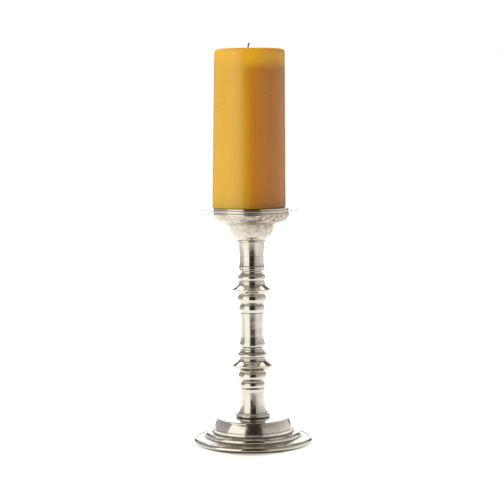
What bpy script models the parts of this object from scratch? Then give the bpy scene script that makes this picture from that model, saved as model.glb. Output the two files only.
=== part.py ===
"""Pewter pillar candlestick with its beeswax candle.

The stick is a stack of hollow turned castings. Each one stands on the one below and
drops a tenon into its bore, and a steel tie rod pulls the stack together between the
pricket on the drip plate and a nut under the foot. The candle is pressed down over the
pricket and lifts straight off it.

Metres, +Z up. The origin is the centre of the foot, on the surface it stands on.
"""

import math

import bmesh
import bpy
from mathutils import Matrix, Vector

# Fits between pieces
JOINT_GAP = 0.0003
FIT_CLEARANCE = 0.0003

# Facets round a full turn
WIDE_STEPS = 40
STACK_STEPS = 28
SMALL_STEPS = 16
SMOOTH_ANGLE = math.radians(32)

# Foot, from the floor up
FOOT_RADIUS = 0.0628
FOOT_EDGE_HEIGHT = 0.0015
FOOT_EDGE_CHAMFER = 0.0004
RIM_ROLL_HEIGHT = 0.0038
RIM_ROLL_WIDTH = 0.0036
RIM_CREASE_DEPTH = 0.0005
LEDGE_RISE = 0.0018
LEDGE_DISH = 0.0003
OVOLO_QUIRK = 0.0005
OVOLO_BASE_RADIUS = 0.0504
OVOLO_HEIGHT = 0.0041
OVOLO_WIDTH = 0.0039
DRUM_FOOT_RADIUS = 0.0443
DRUM_COVE_HEIGHT = 0.0008
DRUM_COVE_WIDTH = 0.0017
DRUM_FILLET_HEIGHT = 0.0028
DRUM_FILLET_LEAN = 0.0003
DRUM_CREASE_DEPTH = 0.0005
DRUM_WALL_HEIGHT = 0.0096
DRUM_WALL_LEAN = 0.0037
DRUM_WALL_SWELL = 0.0004
SHOULDER_HEIGHT = 0.0014
SHOULDER_WIDTH = 0.0012
CROWN_RISE = 0.0009
CROWN_SWELL = 0.0003
CROWN_SEAT_RADIUS = 0.0190
FOOT_WALL = 0.0026
FOOT_RING_WIDTH = 0.0030
FOOT_HUB_RADIUS = 0.0200

# Tie rod and what clamps it
ROD_RADIUS = 0.0030
ROD_END_BELOW_NUT = 0.0029
WASHER_RADIUS = 0.0150
WASHER_THICKNESS = 0.0016
LOCK_WASHER_RADIUS = 0.0056
LOCK_WASHER_THICKNESS = 0.0015
LOCK_WASHER_SLIT_DEGREES = 14.0
NUT_ACROSS_FLATS = 0.0100
NUT_HEIGHT = 0.0052
NUT_CHAMFER = 0.0007

# Tenons and bores that every casting of the stack shares
TENON_RADIUS = 0.0075
TENON_LENGTH = 0.0036
TENON_BORE_RADIUS = 0.0050
TENON_FLOOR = 0.0025

# Lower stem
LOWER_STEM_LENGTH = 0.0301
BASE_RING_HEIGHT = 0.0032
BASE_RING_RADIUS = 0.0181
BASE_RING_SWELL = 0.0017
BASE_FILLET_RADIUS = 0.0168
BASE_FILLET_HEIGHT = 0.0009
FLARE_RADIUS = 0.0153
FLARE_HEIGHT = 0.0140
FLARE_HOLLOW = 0.0007
LOWER_STEM_RADIUS = 0.0124
LOWER_STEM_TOP_RADIUS = 0.0130
LOWER_STEM_TOP_COVE = 0.0050

# Middle stem
MIDDLE_STEM_LENGTH = 0.0364
MIDDLE_LIP_RADIUS = 0.0126
MIDDLE_LIP_HEIGHT = 0.0017
MIDDLE_RING_RADIUS = 0.0138
MIDDLE_RING_HEIGHT = 0.0020
MIDDLE_COVE_HEIGHT = 0.0060
MIDDLE_STEM_RADIUS = 0.0121
MIDDLE_STEM_TOP_RADIUS = 0.0129
MIDDLE_STEM_TOP_COVE = 0.0130
MIDDLE_STEM_TOP_SWELL = 0.0003

# Upper stem
UPPER_STEM_LENGTH = 0.0328
UPPER_LIP_RADIUS = 0.0129
UPPER_LIP_HEIGHT = 0.0026
UPPER_RING_RADIUS = 0.0138
UPPER_RING_HEIGHT = 0.0022
UPPER_COVE_HEIGHT = 0.0060
UPPER_STEM_RADIUS = 0.0126
UPPER_STEM_TOP_RADIUS = 0.0142
UPPER_STEM_TOP_COVE = 0.0150
UPPER_STEM_TOP_SWELL = 0.0004
UPPER_COLLAR_HEIGHT = 0.0016
UPPER_COLLAR_RADIUS = 0.0147

# How high the groove under a stem's lip runs
GROOVE_ROUND = 0.0005

# Knops: one pattern, two sets of sizes, from the bottom up
LOWER_KNOP = {
    "bead_radius": 0.0134,
    "bead_swell": 0.0009,
    "bead_height": 0.0060,
    "neck_radius": 0.0118,
    "neck_height": 0.0021,
    "low_torus_radius": 0.0152,
    "low_torus_swell": 0.0021,
    "low_torus_height": 0.0088,
    "flange_root_radius": 0.0136,
    "under_height": 0.0066,
    "under_swell": 0.0007,
    "flange_radius": 0.0212,
    "flange_edge": 0.0009,
    "over_height": 0.0044,
    "band_foot_radius": 0.0147,
    "band_radius": 0.0140,
    "band_hollow": 0.0004,
    "band_height": 0.0044,
    "high_torus_radius": 0.0155,
    "high_torus_swell": 0.0013,
    "high_torus_height": 0.0044,
    "shoulder_foot_radius": 0.0138,
    "shoulder_radius": 0.0123,
    "shoulder_hollow": 0.0003,
    "shoulder_height": 0.0033,
    "groove_radius": 0.0111,
    "groove_height": 0.0021,
}
UPPER_KNOP = {
    "bead_radius": 0.0137,
    "bead_swell": 0.0010,
    "bead_height": 0.0078,
    "neck_radius": 0.0120,
    "neck_height": 0.0020,
    "low_torus_radius": 0.0152,
    "low_torus_swell": 0.0021,
    "low_torus_height": 0.0094,
    "flange_root_radius": 0.0143,
    "under_height": 0.0048,
    "under_swell": 0.0006,
    "flange_radius": 0.0206,
    "flange_edge": 0.0009,
    "over_height": 0.0040,
    "band_foot_radius": 0.0145,
    "band_radius": 0.0139,
    "band_hollow": 0.0003,
    "band_height": 0.0047,
    "high_torus_radius": 0.0148,
    "high_torus_swell": 0.0012,
    "high_torus_height": 0.0060,
    "shoulder_foot_radius": 0.0131,
    "shoulder_radius": 0.0123,
    "shoulder_hollow": 0.0001,
    "shoulder_height": 0.0015,
    "groove_radius": 0.0112,
    "groove_height": 0.0021,
}

# Cup
CUP_HEIGHT = 0.0285
CUP_BASE_RADIUS = 0.0157
CUP_BASE_EDGE = 0.0005
BOWL_HEIGHT = 0.0162
BOWL_RADIUS = 0.0259
BOWL_SIDE_SWELL = 0.0004
BOWL_TURN_RADIUS = 0.0212
BOWL_TURN_HEIGHT = 0.0055
BOWL_TURN_SWELL = 0.0010
BOWL_QUIRK_DEPTH = 0.0005
BOWL_QUIRK_HEIGHT = 0.0008
CUP_NECK_RADIUS = 0.0282
CUP_NECK_HEIGHT = 0.0004
CUP_LIP_RADIUS = 0.0401
CUP_FLARE_SWELL = 0.0018
CUP_UNDER_RADIUS = 0.0318
CUP_UNDER_RISE = 0.0009
CUP_LIP_HEIGHT = 0.0014
CUP_LIP_ROUND = 0.0006
CUP_WALL = 0.0032
CUP_FLOOR = 0.0030
CUP_BOSS_RADIUS = 0.0090

# Drip plate
SKIRT_HEIGHT = 0.0020
SKIRT_RADIUS = 0.0393
BRIM_RADIUS = 0.0494
BRIM_THICKNESS = 0.0011
BRIM_EDGE_ROUND = 0.0003
SEAT_RADIUS = 0.0398
SEAT_HEIGHT = 0.0016
SEAT_COVE = 0.0002
SEAT_EDGE_ROUND = 0.0003
PLATE_WALL = 0.0020
PLATE_SPIGOT_DEPTH = 0.0015
PLATE_HUB_RADIUS = 0.0110

# Pricket
PRICKET_FLANGE_RADIUS = 0.0070
PRICKET_FLANGE_THICKNESS = 0.0014
PRICKET_RECESS_DEPTH = 0.0020
PRICKET_ROOT_RADIUS = 0.0026
PRICKET_TIP_RADIUS = 0.0003
PRICKET_HEIGHT = 0.0220
SHANK_RADIUS = 0.0047
SHANK_LENGTH = 0.0145
SHANK_THREAD_DEPTH = 0.0100
ROD_TOP_CLEARANCE = 0.0006

# Candle and wick
CANDLE_HEIGHT = 0.1645
CANDLE_FOOT_RADIUS = 0.0384
CANDLE_TOP_RADIUS = 0.0368
CANDLE_OFF_CENTRE = -0.0022
CANDLE_LEAN = 0.0020
CANDLE_FOOT_CHAMFER = 0.0004
CANDLE_TOP_ROUND = 0.0070
CANDLE_MOUND_HEIGHT = 0.0008
CANDLE_MOUND_RADIUS = 0.0170
WICK_OFF_CENTRE = -0.0018
WICK_RADIUS = 0.0008
WICK_SHOWING = 0.0052
WICK_LEAN = 0.0014
WICK_ABOVE_PRICKET = 0.0042
PRICKET_HOLE_DEPTH = 0.0245

# Heights that the sizes above give
RIM_TOP = FOOT_EDGE_HEIGHT + RIM_ROLL_HEIGHT
LEDGE_HEIGHT = RIM_TOP - RIM_CREASE_DEPTH
OVOLO_FOOT = LEDGE_HEIGHT + LEDGE_RISE + OVOLO_QUIRK
DRUM_FOOT = OVOLO_FOOT + OVOLO_HEIGHT
DRUM_CREASE = DRUM_FOOT + DRUM_COVE_HEIGHT + DRUM_FILLET_HEIGHT
SHOULDER_FOOT = DRUM_CREASE + DRUM_WALL_HEIGHT
CROWN_EDGE = SHOULDER_FOOT + SHOULDER_HEIGHT
FOOT_SEAT = CROWN_EDGE + CROWN_RISE
FOOT_UNDERSIDE = FOOT_SEAT - FOOT_WALL
STACK_BORE_RADIUS = TENON_RADIUS + FIT_CLEARANCE


def knop_length(size):
    heights = (
        "bead_height",
        "neck_height",
        "low_torus_height",
        "under_height",
        "flange_edge",
        "over_height",
        "band_height",
        "high_torus_height",
        "shoulder_height",
        "groove_height",
    )
    return sum(size[name] for name in heights)


LOWER_STEM_Z = FOOT_SEAT + JOINT_GAP
LOWER_KNOP_Z = LOWER_STEM_Z + LOWER_STEM_LENGTH + JOINT_GAP
MIDDLE_STEM_Z = LOWER_KNOP_Z + knop_length(LOWER_KNOP) + JOINT_GAP
UPPER_KNOP_Z = MIDDLE_STEM_Z + MIDDLE_STEM_LENGTH + JOINT_GAP
UPPER_STEM_Z = UPPER_KNOP_Z + knop_length(UPPER_KNOP) + JOINT_GAP
CUP_Z = UPPER_STEM_Z + UPPER_STEM_LENGTH + JOINT_GAP
PLATE_Z = CUP_Z + CUP_HEIGHT + JOINT_GAP
BRIM_TOP = SKIRT_HEIGHT + BRIM_THICKNESS
SEAT_TOP = BRIM_TOP + SEAT_HEIGHT
PRICKET_Z = PLATE_Z + SEAT_TOP - PRICKET_RECESS_DEPTH + JOINT_GAP
CANDLE_Z = PLATE_Z + SEAT_TOP + JOINT_GAP
PRICKET_TIP_IN_CANDLE = PRICKET_Z + PRICKET_HEIGHT - CANDLE_Z
WASHER_Z = FOOT_UNDERSIDE - JOINT_GAP - WASHER_THICKNESS
LOCK_WASHER_Z = WASHER_Z - JOINT_GAP - LOCK_WASHER_THICKNESS
NUT_Z = LOCK_WASHER_Z - JOINT_GAP - NUT_HEIGHT
ROD_Z = NUT_Z - ROD_END_BELOW_NUT
ROD_TOP = PRICKET_Z - SHANK_LENGTH + SHANK_THREAD_DEPTH - ROD_TOP_CLEARANCE

# Finishes
PEWTER = {"colour": (0.62, 0.59, 0.54), "roughness": 0.14, "metallic": 1.0}
STEEL = {"colour": (0.42, 0.42, 0.43), "roughness": 0.35, "metallic": 1.0}
BEESWAX = {"colour": (0.72, 0.40, 0.06), "roughness": 0.45, "metallic": 0.0}
COTTON = {"colour": (0.03, 0.03, 0.03), "roughness": 0.9, "metallic": 0.0}


class Outline:
    """Half of a turned section, drawn point by point as (radius, height)."""

    def __init__(self, radius, height):
        self.points = [(radius, height)]

    def line(self, radius, height):
        """A straight stretch to a point."""
        self.points.append((radius, height))
        return self

    def arc(self, radius, height, swell, steps):
        """A circular arc to a point. Its middle stands swell to the right of the way there."""
        start = Vector(self.points[-1])
        end = Vector((radius, height))
        chord = end - start
        half = chord.length / 2
        bend = (half * half + swell * swell) / (2 * abs(swell))
        side = Vector((chord.y, -chord.x)).normalized() * math.copysign(1.0, swell)
        centre = (start + end) / 2 + side * (abs(swell) - bend)
        turn = 2 * math.asin(min(1.0, half / bend)) * math.copysign(1.0, swell)
        if abs(swell) > half:
            turn = math.copysign(2 * math.pi, turn) - turn
        for step in range(1, steps):
            angle = turn * step / steps
            self.points.append(tuple(centre + Matrix.Rotation(angle, 2) @ (start - centre)))
        self.points.append((radius, height))
        return self

    def quadrant(self, radius, height, steps, level_first):
        """A quarter of an ellipse to a point, which leaves level or leaves upright."""
        start_radius, start_height = self.points[-1]
        wide = radius - start_radius
        tall = height - start_height
        for step in range(1, steps + 1):
            angle = math.pi / 2 * step / steps
            if level_first:
                point = (start_radius + wide * math.sin(angle), start_height + tall * (1 - math.cos(angle)))
            else:
                point = (start_radius + wide * (1 - math.cos(angle)), start_height + tall * math.sin(angle))
            self.points.append(point)
        return self


def material(name, finish):
    made = bpy.data.materials.new(name)
    made.use_nodes = True
    shader = made.node_tree.nodes["Principled BSDF"]
    shader.inputs["Base Color"].default_value = (*finish["colour"], 1.0)
    shader.inputs["Roughness"].default_value = finish["roughness"]
    shader.inputs["Metallic"].default_value = finish["metallic"]
    made.diffuse_color = (*finish["colour"], 1.0)
    return made


def finish_object(name, shape, finish, height, parent):
    """Closes, smooths and places a mesh whose own zero lies on its seat."""
    bmesh.ops.recalc_face_normals(shape, faces=shape.faces)
    mesh = bpy.data.meshes.new(name)
    shape.to_mesh(mesh)
    shape.free()
    mesh.shade_smooth()
    mesh.set_sharp_from_angle(angle=SMOOTH_ANGLE)
    mesh.materials.append(material(name, finish))
    made = bpy.data.objects.new(name, mesh)
    bpy.context.scene.collection.objects.link(made)
    made.parent = parent
    made.location.z = height
    return made


def turned_shape(outline, steps, off_centre=0.0):
    """Spins a closed outline about the upright axis."""
    shape = bmesh.new()
    corners = [shape.verts.new((radius, 0.0, height)) for radius, height in outline.points]
    ring = [shape.edges.new(pair) for pair in zip(corners, corners[1:] + corners[:1])]
    bmesh.ops.spin(
        shape,
        geom=corners + ring,
        cent=(0.0, 0.0, 0.0),
        axis=(0.0, 0.0, 1.0),
        angle=2 * math.pi,
        steps=steps,
        use_merge=True,
    )
    bmesh.ops.remove_doubles(shape, verts=shape.verts, dist=1e-6)
    bmesh.ops.dissolve_degenerate(shape, edges=shape.edges, dist=1e-6)
    bmesh.ops.translate(shape, verts=shape.verts, vec=(off_centre, 0.0, 0.0))
    return shape


def turned(name, outline, steps, finish, height, parent):
    return finish_object(name, turned_shape(outline, steps), finish, height, parent)


def add_stack_bore(outline, length, tenon=TENON_LENGTH):
    """Ends a casting's outline: its tenon below the seat, the tenon's bore and the wide bore above it."""
    outline.line(TENON_RADIUS, 0.0)
    outline.line(TENON_RADIUS, -tenon)
    outline.line(TENON_BORE_RADIUS, -tenon)
    outline.line(TENON_BORE_RADIUS, TENON_FLOOR)
    outline.line(STACK_BORE_RADIUS, TENON_FLOOR + STACK_BORE_RADIUS - TENON_BORE_RADIUS)
    outline.line(STACK_BORE_RADIUS, length)
    return outline


def make_foot(parent):
    """Foot: crown, drum, fillet, ovolo, dished ledge and rolled rim over an open underside."""
    hole = TENON_RADIUS + FIT_CLEARANCE
    fillet_radius = DRUM_FOOT_RADIUS - DRUM_COVE_WIDTH
    crease = fillet_radius - DRUM_FILLET_LEAN - DRUM_CREASE_DEPTH
    drum_top_radius = crease - DRUM_WALL_LEAN
    rim_crease = FOOT_RADIUS - RIM_ROLL_WIDTH
    outline = Outline(hole, FOOT_SEAT)
    outline.line(CROWN_SEAT_RADIUS, FOOT_SEAT)
    outline.arc(drum_top_radius - SHOULDER_WIDTH, CROWN_EDGE, -CROWN_SWELL, 3)
    outline.quadrant(drum_top_radius, SHOULDER_FOOT, 3, level_first=True)
    outline.arc(crease, DRUM_CREASE, -DRUM_WALL_SWELL, 4)
    outline.line(crease + DRUM_CREASE_DEPTH, DRUM_CREASE)
    outline.line(fillet_radius, DRUM_FOOT + DRUM_COVE_HEIGHT)
    outline.quadrant(DRUM_FOOT_RADIUS, DRUM_FOOT, 3, level_first=False)
    outline.line(OVOLO_BASE_RADIUS - OVOLO_WIDTH, DRUM_FOOT)
    outline.quadrant(OVOLO_BASE_RADIUS, OVOLO_FOOT, 4, level_first=True)
    outline.line(OVOLO_BASE_RADIUS, LEDGE_HEIGHT + LEDGE_RISE)
    outline.arc(rim_crease, LEDGE_HEIGHT, LEDGE_DISH, 3)
    outline.line(rim_crease, RIM_TOP)
    outline.quadrant(FOOT_RADIUS, FOOT_EDGE_HEIGHT, 5, level_first=True)
    outline.line(FOOT_RADIUS, FOOT_EDGE_CHAMFER)
    outline.line(FOOT_RADIUS - FOOT_EDGE_CHAMFER, 0.0)
    outline.line(FOOT_RADIUS - FOOT_RING_WIDTH, 0.0)
    outline.line(rim_crease - RIM_CREASE_DEPTH, LEDGE_HEIGHT - FOOT_WALL)
    outline.line(OVOLO_BASE_RADIUS - FOOT_WALL, LEDGE_HEIGHT + LEDGE_RISE - FOOT_WALL)
    outline.quadrant(fillet_radius - FOOT_WALL, DRUM_FOOT - FOOT_WALL, 2, level_first=False)
    outline.line(crease - FOOT_WALL, DRUM_CREASE)
    outline.line(drum_top_radius - FOOT_WALL, SHOULDER_FOOT - FOOT_WALL / 2)
    outline.line(drum_top_radius - FOOT_WALL - SHOULDER_WIDTH, CROWN_EDGE - FOOT_WALL)
    outline.line(FOOT_HUB_RADIUS, FOOT_UNDERSIDE)
    outline.line(hole, FOOT_UNDERSIDE)
    return turned("foot", outline, WIDE_STEPS, PEWTER, 0.0, parent)


def make_lower_stem(parent):
    """Lower stem: flares down to a fillet and the ring that stands on the foot."""
    outline = Outline(LOWER_STEM_TOP_RADIUS, LOWER_STEM_LENGTH)
    cove_foot = LOWER_STEM_LENGTH - LOWER_STEM_TOP_COVE
    fillet_top = BASE_RING_HEIGHT + BASE_FILLET_HEIGHT
    outline.quadrant(LOWER_STEM_RADIUS, cove_foot, 3, level_first=True)
    outline.line(LOWER_STEM_RADIUS, fillet_top + FLARE_HEIGHT)
    outline.arc(FLARE_RADIUS, fillet_top, FLARE_HOLLOW, 5)
    outline.line(BASE_FILLET_RADIUS, fillet_top)
    outline.line(BASE_FILLET_RADIUS, BASE_RING_HEIGHT)
    outline.line(BASE_RING_RADIUS - BASE_RING_SWELL, BASE_RING_HEIGHT)
    outline.arc(BASE_RING_RADIUS - BASE_RING_SWELL, 0.0, -BASE_RING_SWELL, 6)
    add_stack_bore(outline, LOWER_STEM_LENGTH, FOOT_WALL)
    return turned("lower_stem", outline, STACK_STEPS, PEWTER, LOWER_STEM_Z, parent)


def make_middle_stem(parent):
    """Middle stem: a slim waist between the knops, on a ring that sits in the lower knop's groove."""
    groove = LOWER_KNOP["groove_radius"]
    ring_top = MIDDLE_LIP_HEIGHT + MIDDLE_RING_HEIGHT
    outline = Outline(MIDDLE_STEM_TOP_RADIUS, MIDDLE_STEM_LENGTH)
    outline.arc(MIDDLE_STEM_RADIUS, MIDDLE_STEM_LENGTH - MIDDLE_STEM_TOP_COVE, MIDDLE_STEM_TOP_SWELL, 3)
    outline.line(MIDDLE_STEM_RADIUS, ring_top + MIDDLE_COVE_HEIGHT)
    outline.quadrant(MIDDLE_RING_RADIUS, ring_top, 4, level_first=False)
    outline.line(MIDDLE_RING_RADIUS, MIDDLE_LIP_HEIGHT)
    outline.line(MIDDLE_LIP_RADIUS, GROOVE_ROUND)
    outline.line(groove, 0.0)
    add_stack_bore(outline, MIDDLE_STEM_LENGTH)
    return turned("middle_stem", outline, STACK_STEPS, PEWTER, MIDDLE_STEM_Z, parent)


def make_upper_stem(parent):
    """Upper stem: opens upwards to the collar under the cup."""
    groove = UPPER_KNOP["groove_radius"]
    ring_top = UPPER_LIP_HEIGHT + UPPER_RING_HEIGHT
    collar_foot = UPPER_STEM_LENGTH - UPPER_COLLAR_HEIGHT
    outline = Outline(UPPER_COLLAR_RADIUS, UPPER_STEM_LENGTH)
    outline.line(UPPER_COLLAR_RADIUS, collar_foot)
    outline.line(UPPER_STEM_TOP_RADIUS, collar_foot)
    outline.arc(UPPER_STEM_RADIUS, collar_foot - UPPER_STEM_TOP_COVE, UPPER_STEM_TOP_SWELL, 4)
    outline.line(UPPER_STEM_RADIUS, ring_top + UPPER_COVE_HEIGHT)
    outline.quadrant(UPPER_RING_RADIUS, ring_top, 3, level_first=False)
    outline.line(UPPER_RING_RADIUS, UPPER_LIP_HEIGHT)
    outline.line(UPPER_LIP_RADIUS, UPPER_LIP_HEIGHT)
    outline.line(UPPER_LIP_RADIUS, GROOVE_ROUND)
    outline.line(groove, 0.0)
    add_stack_bore(outline, UPPER_STEM_LENGTH)
    return turned("upper_stem", outline, STACK_STEPS, PEWTER, UPPER_STEM_Z, parent)


def make_knop(name, size, height, parent):
    """Knop: shoulder, torus, hollow band, thin flange, torus, neck and bead, turned from one casting."""
    length = knop_length(size)
    bead_top = size["bead_height"]
    neck_top = bead_top + size["neck_height"]
    low_torus_top = neck_top + size["low_torus_height"]
    flange_foot = low_torus_top + size["under_height"]
    flange_top = flange_foot + size["flange_edge"]
    band_foot = flange_top + size["over_height"]
    band_top = band_foot + size["band_height"]
    shoulder_foot = band_top + size["high_torus_height"]
    shoulder_top = shoulder_foot + size["shoulder_height"]
    bead_edge = size["bead_radius"] - size["bead_swell"]
    low_torus_edge = size["low_torus_radius"] - size["low_torus_swell"]
    high_torus_edge = size["high_torus_radius"] - size["high_torus_swell"]
    outline = Outline(size["groove_radius"], length)
    outline.line(size["groove_radius"], shoulder_top)
    outline.line(size["shoulder_radius"], shoulder_top)
    outline.arc(size["shoulder_foot_radius"], shoulder_foot, size["shoulder_hollow"], 3)
    outline.line(high_torus_edge, shoulder_foot)
    outline.arc(high_torus_edge, band_top, -size["high_torus_swell"], 5)
    outline.line(size["band_radius"], band_top)
    outline.arc(size["band_foot_radius"], band_foot, size["band_hollow"], 3)
    outline.line(size["flange_radius"], flange_top)
    outline.line(size["flange_radius"], flange_foot)
    outline.arc(size["flange_root_radius"], low_torus_top, -size["under_swell"], 4)
    outline.line(low_torus_edge, low_torus_top)
    outline.arc(low_torus_edge, neck_top, -size["low_torus_swell"], 6)
    outline.line(size["neck_radius"], neck_top)
    outline.line(size["neck_radius"], bead_top)
    outline.line(bead_edge, bead_top)
    outline.arc(bead_edge, 0.0, -size["bead_swell"], 4)
    add_stack_bore(outline, length)
    return turned(name, outline, STACK_STEPS, PEWTER, height, parent)


def make_cup(parent):
    """Cup: swelling bowl, quirk and flared lip round an open hollow, with a boss for the pricket's shank."""
    quirk_foot = CUP_BASE_EDGE + BOWL_HEIGHT
    neck_foot = quirk_foot + BOWL_QUIRK_HEIGHT
    flare_foot = neck_foot + CUP_NECK_HEIGHT
    lip_foot = CUP_HEIGHT - CUP_LIP_HEIGHT
    mouth = CUP_LIP_RADIUS - CUP_WALL
    boss_bore = SHANK_RADIUS + FIT_CLEARANCE
    outline = Outline(CUP_LIP_RADIUS - CUP_LIP_ROUND, CUP_HEIGHT)
    outline.quadrant(CUP_LIP_RADIUS, CUP_HEIGHT - CUP_LIP_ROUND, 2, level_first=True)
    outline.line(CUP_LIP_RADIUS, lip_foot)
    outline.arc(CUP_UNDER_RADIUS, flare_foot + CUP_UNDER_RISE, -CUP_FLARE_SWELL, 5)
    outline.line(CUP_NECK_RADIUS, flare_foot)
    outline.line(CUP_NECK_RADIUS, neck_foot)
    outline.line(BOWL_RADIUS - BOWL_QUIRK_DEPTH, neck_foot)
    outline.line(BOWL_RADIUS - BOWL_QUIRK_DEPTH, quirk_foot)
    outline.line(BOWL_RADIUS, quirk_foot)
    outline.arc(BOWL_TURN_RADIUS, BOWL_TURN_HEIGHT, -BOWL_SIDE_SWELL, 3)
    outline.arc(CUP_BASE_RADIUS, CUP_BASE_EDGE, -BOWL_TURN_SWELL, 4)
    outline.line(CUP_BASE_RADIUS, 0.0)
    outline.line(TENON_RADIUS, 0.0)
    outline.line(TENON_RADIUS, -TENON_LENGTH)
    outline.line(boss_bore, -TENON_LENGTH)
    outline.line(boss_bore, CUP_HEIGHT)
    outline.line(CUP_BOSS_RADIUS, CUP_HEIGHT)
    outline.line(CUP_BOSS_RADIUS, CUP_FLOOR)
    outline.line(CUP_BASE_RADIUS - CUP_WALL / 2, CUP_FLOOR)
    outline.arc(BOWL_TURN_RADIUS - CUP_WALL, BOWL_TURN_HEIGHT + CUP_WALL / 2, BOWL_TURN_SWELL, 2)
    outline.arc(BOWL_RADIUS - CUP_WALL, quirk_foot, BOWL_SIDE_SWELL, 2)
    outline.line(CUP_NECK_RADIUS, flare_foot + CUP_WALL)
    outline.arc(mouth, lip_foot - CUP_WALL / 2, CUP_FLARE_SWELL, 3)
    outline.line(mouth, CUP_HEIGHT)
    return turned("cup", outline, STACK_STEPS, PEWTER, CUP_Z, parent)


def make_drip_plate(parent):
    """Drip plate: raised seat, thin brim and a skirt whose spigot drops into the cup's mouth."""
    spigot = CUP_LIP_RADIUS - CUP_WALL - FIT_CLEARANCE
    recess_floor = SEAT_TOP - PRICKET_RECESS_DEPTH
    recess = PRICKET_FLANGE_RADIUS + FIT_CLEARANCE
    ceiling = SEAT_TOP - PLATE_WALL
    outline = Outline(SEAT_RADIUS - SEAT_EDGE_ROUND - SEAT_COVE, SEAT_TOP)
    outline.quadrant(SEAT_RADIUS - SEAT_COVE, SEAT_TOP - SEAT_EDGE_ROUND, 3, level_first=True)
    outline.quadrant(SEAT_RADIUS, BRIM_TOP, 3, level_first=False)
    outline.line(BRIM_RADIUS - BRIM_EDGE_ROUND, BRIM_TOP)
    outline.line(BRIM_RADIUS, BRIM_TOP - BRIM_EDGE_ROUND)
    outline.line(BRIM_RADIUS, SKIRT_HEIGHT + BRIM_EDGE_ROUND)
    outline.line(BRIM_RADIUS - BRIM_EDGE_ROUND, SKIRT_HEIGHT)
    outline.line(SKIRT_RADIUS, SKIRT_HEIGHT)
    outline.line(SKIRT_RADIUS, 0.0)
    outline.line(spigot, 0.0)
    outline.line(spigot, -PLATE_SPIGOT_DEPTH)
    outline.line(spigot - PLATE_WALL, -PLATE_SPIGOT_DEPTH)
    outline.line(spigot - PLATE_WALL, ceiling)
    outline.line(PLATE_HUB_RADIUS, ceiling)
    outline.line(PLATE_HUB_RADIUS, 0.0)
    outline.line(SHANK_RADIUS + FIT_CLEARANCE, 0.0)
    outline.line(SHANK_RADIUS + FIT_CLEARANCE, recess_floor)
    outline.line(recess, recess_floor)
    outline.line(recess, SEAT_TOP)
    return turned("drip_plate", outline, WIDE_STEPS, PEWTER, PLATE_Z, parent)


def make_pricket(parent):
    """Pricket: a spike on a flange let into the seat, whose shank takes the tie rod's top end."""
    spike_foot = PRICKET_FLANGE_THICKNESS
    thread = ROD_RADIUS + FIT_CLEARANCE
    outline = Outline(0.0, PRICKET_HEIGHT)
    outline.line(PRICKET_TIP_RADIUS, PRICKET_HEIGHT)
    outline.line(PRICKET_ROOT_RADIUS, spike_foot + 2 * PRICKET_ROOT_RADIUS)
    outline.line(PRICKET_ROOT_RADIUS, spike_foot)
    outline.line(PRICKET_FLANGE_RADIUS, spike_foot)
    outline.line(PRICKET_FLANGE_RADIUS, 0.0)
    outline.line(SHANK_RADIUS, 0.0)
    outline.line(SHANK_RADIUS, -SHANK_LENGTH)
    outline.line(thread, -SHANK_LENGTH)
    outline.line(thread, SHANK_THREAD_DEPTH - SHANK_LENGTH)
    outline.line(0.0, SHANK_THREAD_DEPTH - SHANK_LENGTH)
    return turned("pricket", outline, SMALL_STEPS, STEEL, PRICKET_Z, parent)


def make_tie_rod(parent):
    """Tie rod: runs free up the stack from below the nut into the pricket's shank."""
    length = ROD_TOP - ROD_Z
    chamfer = ROD_RADIUS / 6
    outline = Outline(0.0, length)
    outline.line(ROD_RADIUS - chamfer, length)
    outline.line(ROD_RADIUS, length - chamfer)
    outline.line(ROD_RADIUS, chamfer)
    outline.line(ROD_RADIUS - chamfer, 0.0)
    outline.line(0.0, 0.0)
    return turned("tie_rod", outline, SMALL_STEPS, STEEL, ROD_Z, parent)


def make_washer(parent):
    """Spreader washer, which takes the nut's pull on the crown's underside."""
    bore = ROD_RADIUS + FIT_CLEARANCE
    outline = Outline(bore, WASHER_THICKNESS)
    outline.line(WASHER_RADIUS, WASHER_THICKNESS)
    outline.line(WASHER_RADIUS, 0.0)
    outline.line(bore, 0.0)
    return turned("spreader_washer", outline, SMALL_STEPS, STEEL, WASHER_Z, parent)


def make_lock_washer(parent):
    """Lock washer: a square-section ring, slit at one place."""
    bore = ROD_RADIUS + FIT_CLEARANCE
    slit = math.radians(LOCK_WASHER_SLIT_DEGREES)
    shape = bmesh.new()
    corners = [
        shape.verts.new((radius, 0.0, height))
        for radius, height in (
            (bore, LOCK_WASHER_THICKNESS),
            (LOCK_WASHER_RADIUS, LOCK_WASHER_THICKNESS),
            (LOCK_WASHER_RADIUS, 0.0),
            (bore, 0.0),
        )
    ]
    end = shape.faces.new(corners)
    spun = bmesh.ops.spin(
        shape,
        geom=[end],
        cent=(0.0, 0.0, 0.0),
        axis=(0.0, 0.0, 1.0),
        angle=2 * math.pi - slit,
        steps=SMALL_STEPS,
    )
    assert spun["geom_last"]
    return finish_object("lock_washer", shape, STEEL, LOCK_WASHER_Z, parent)


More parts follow.
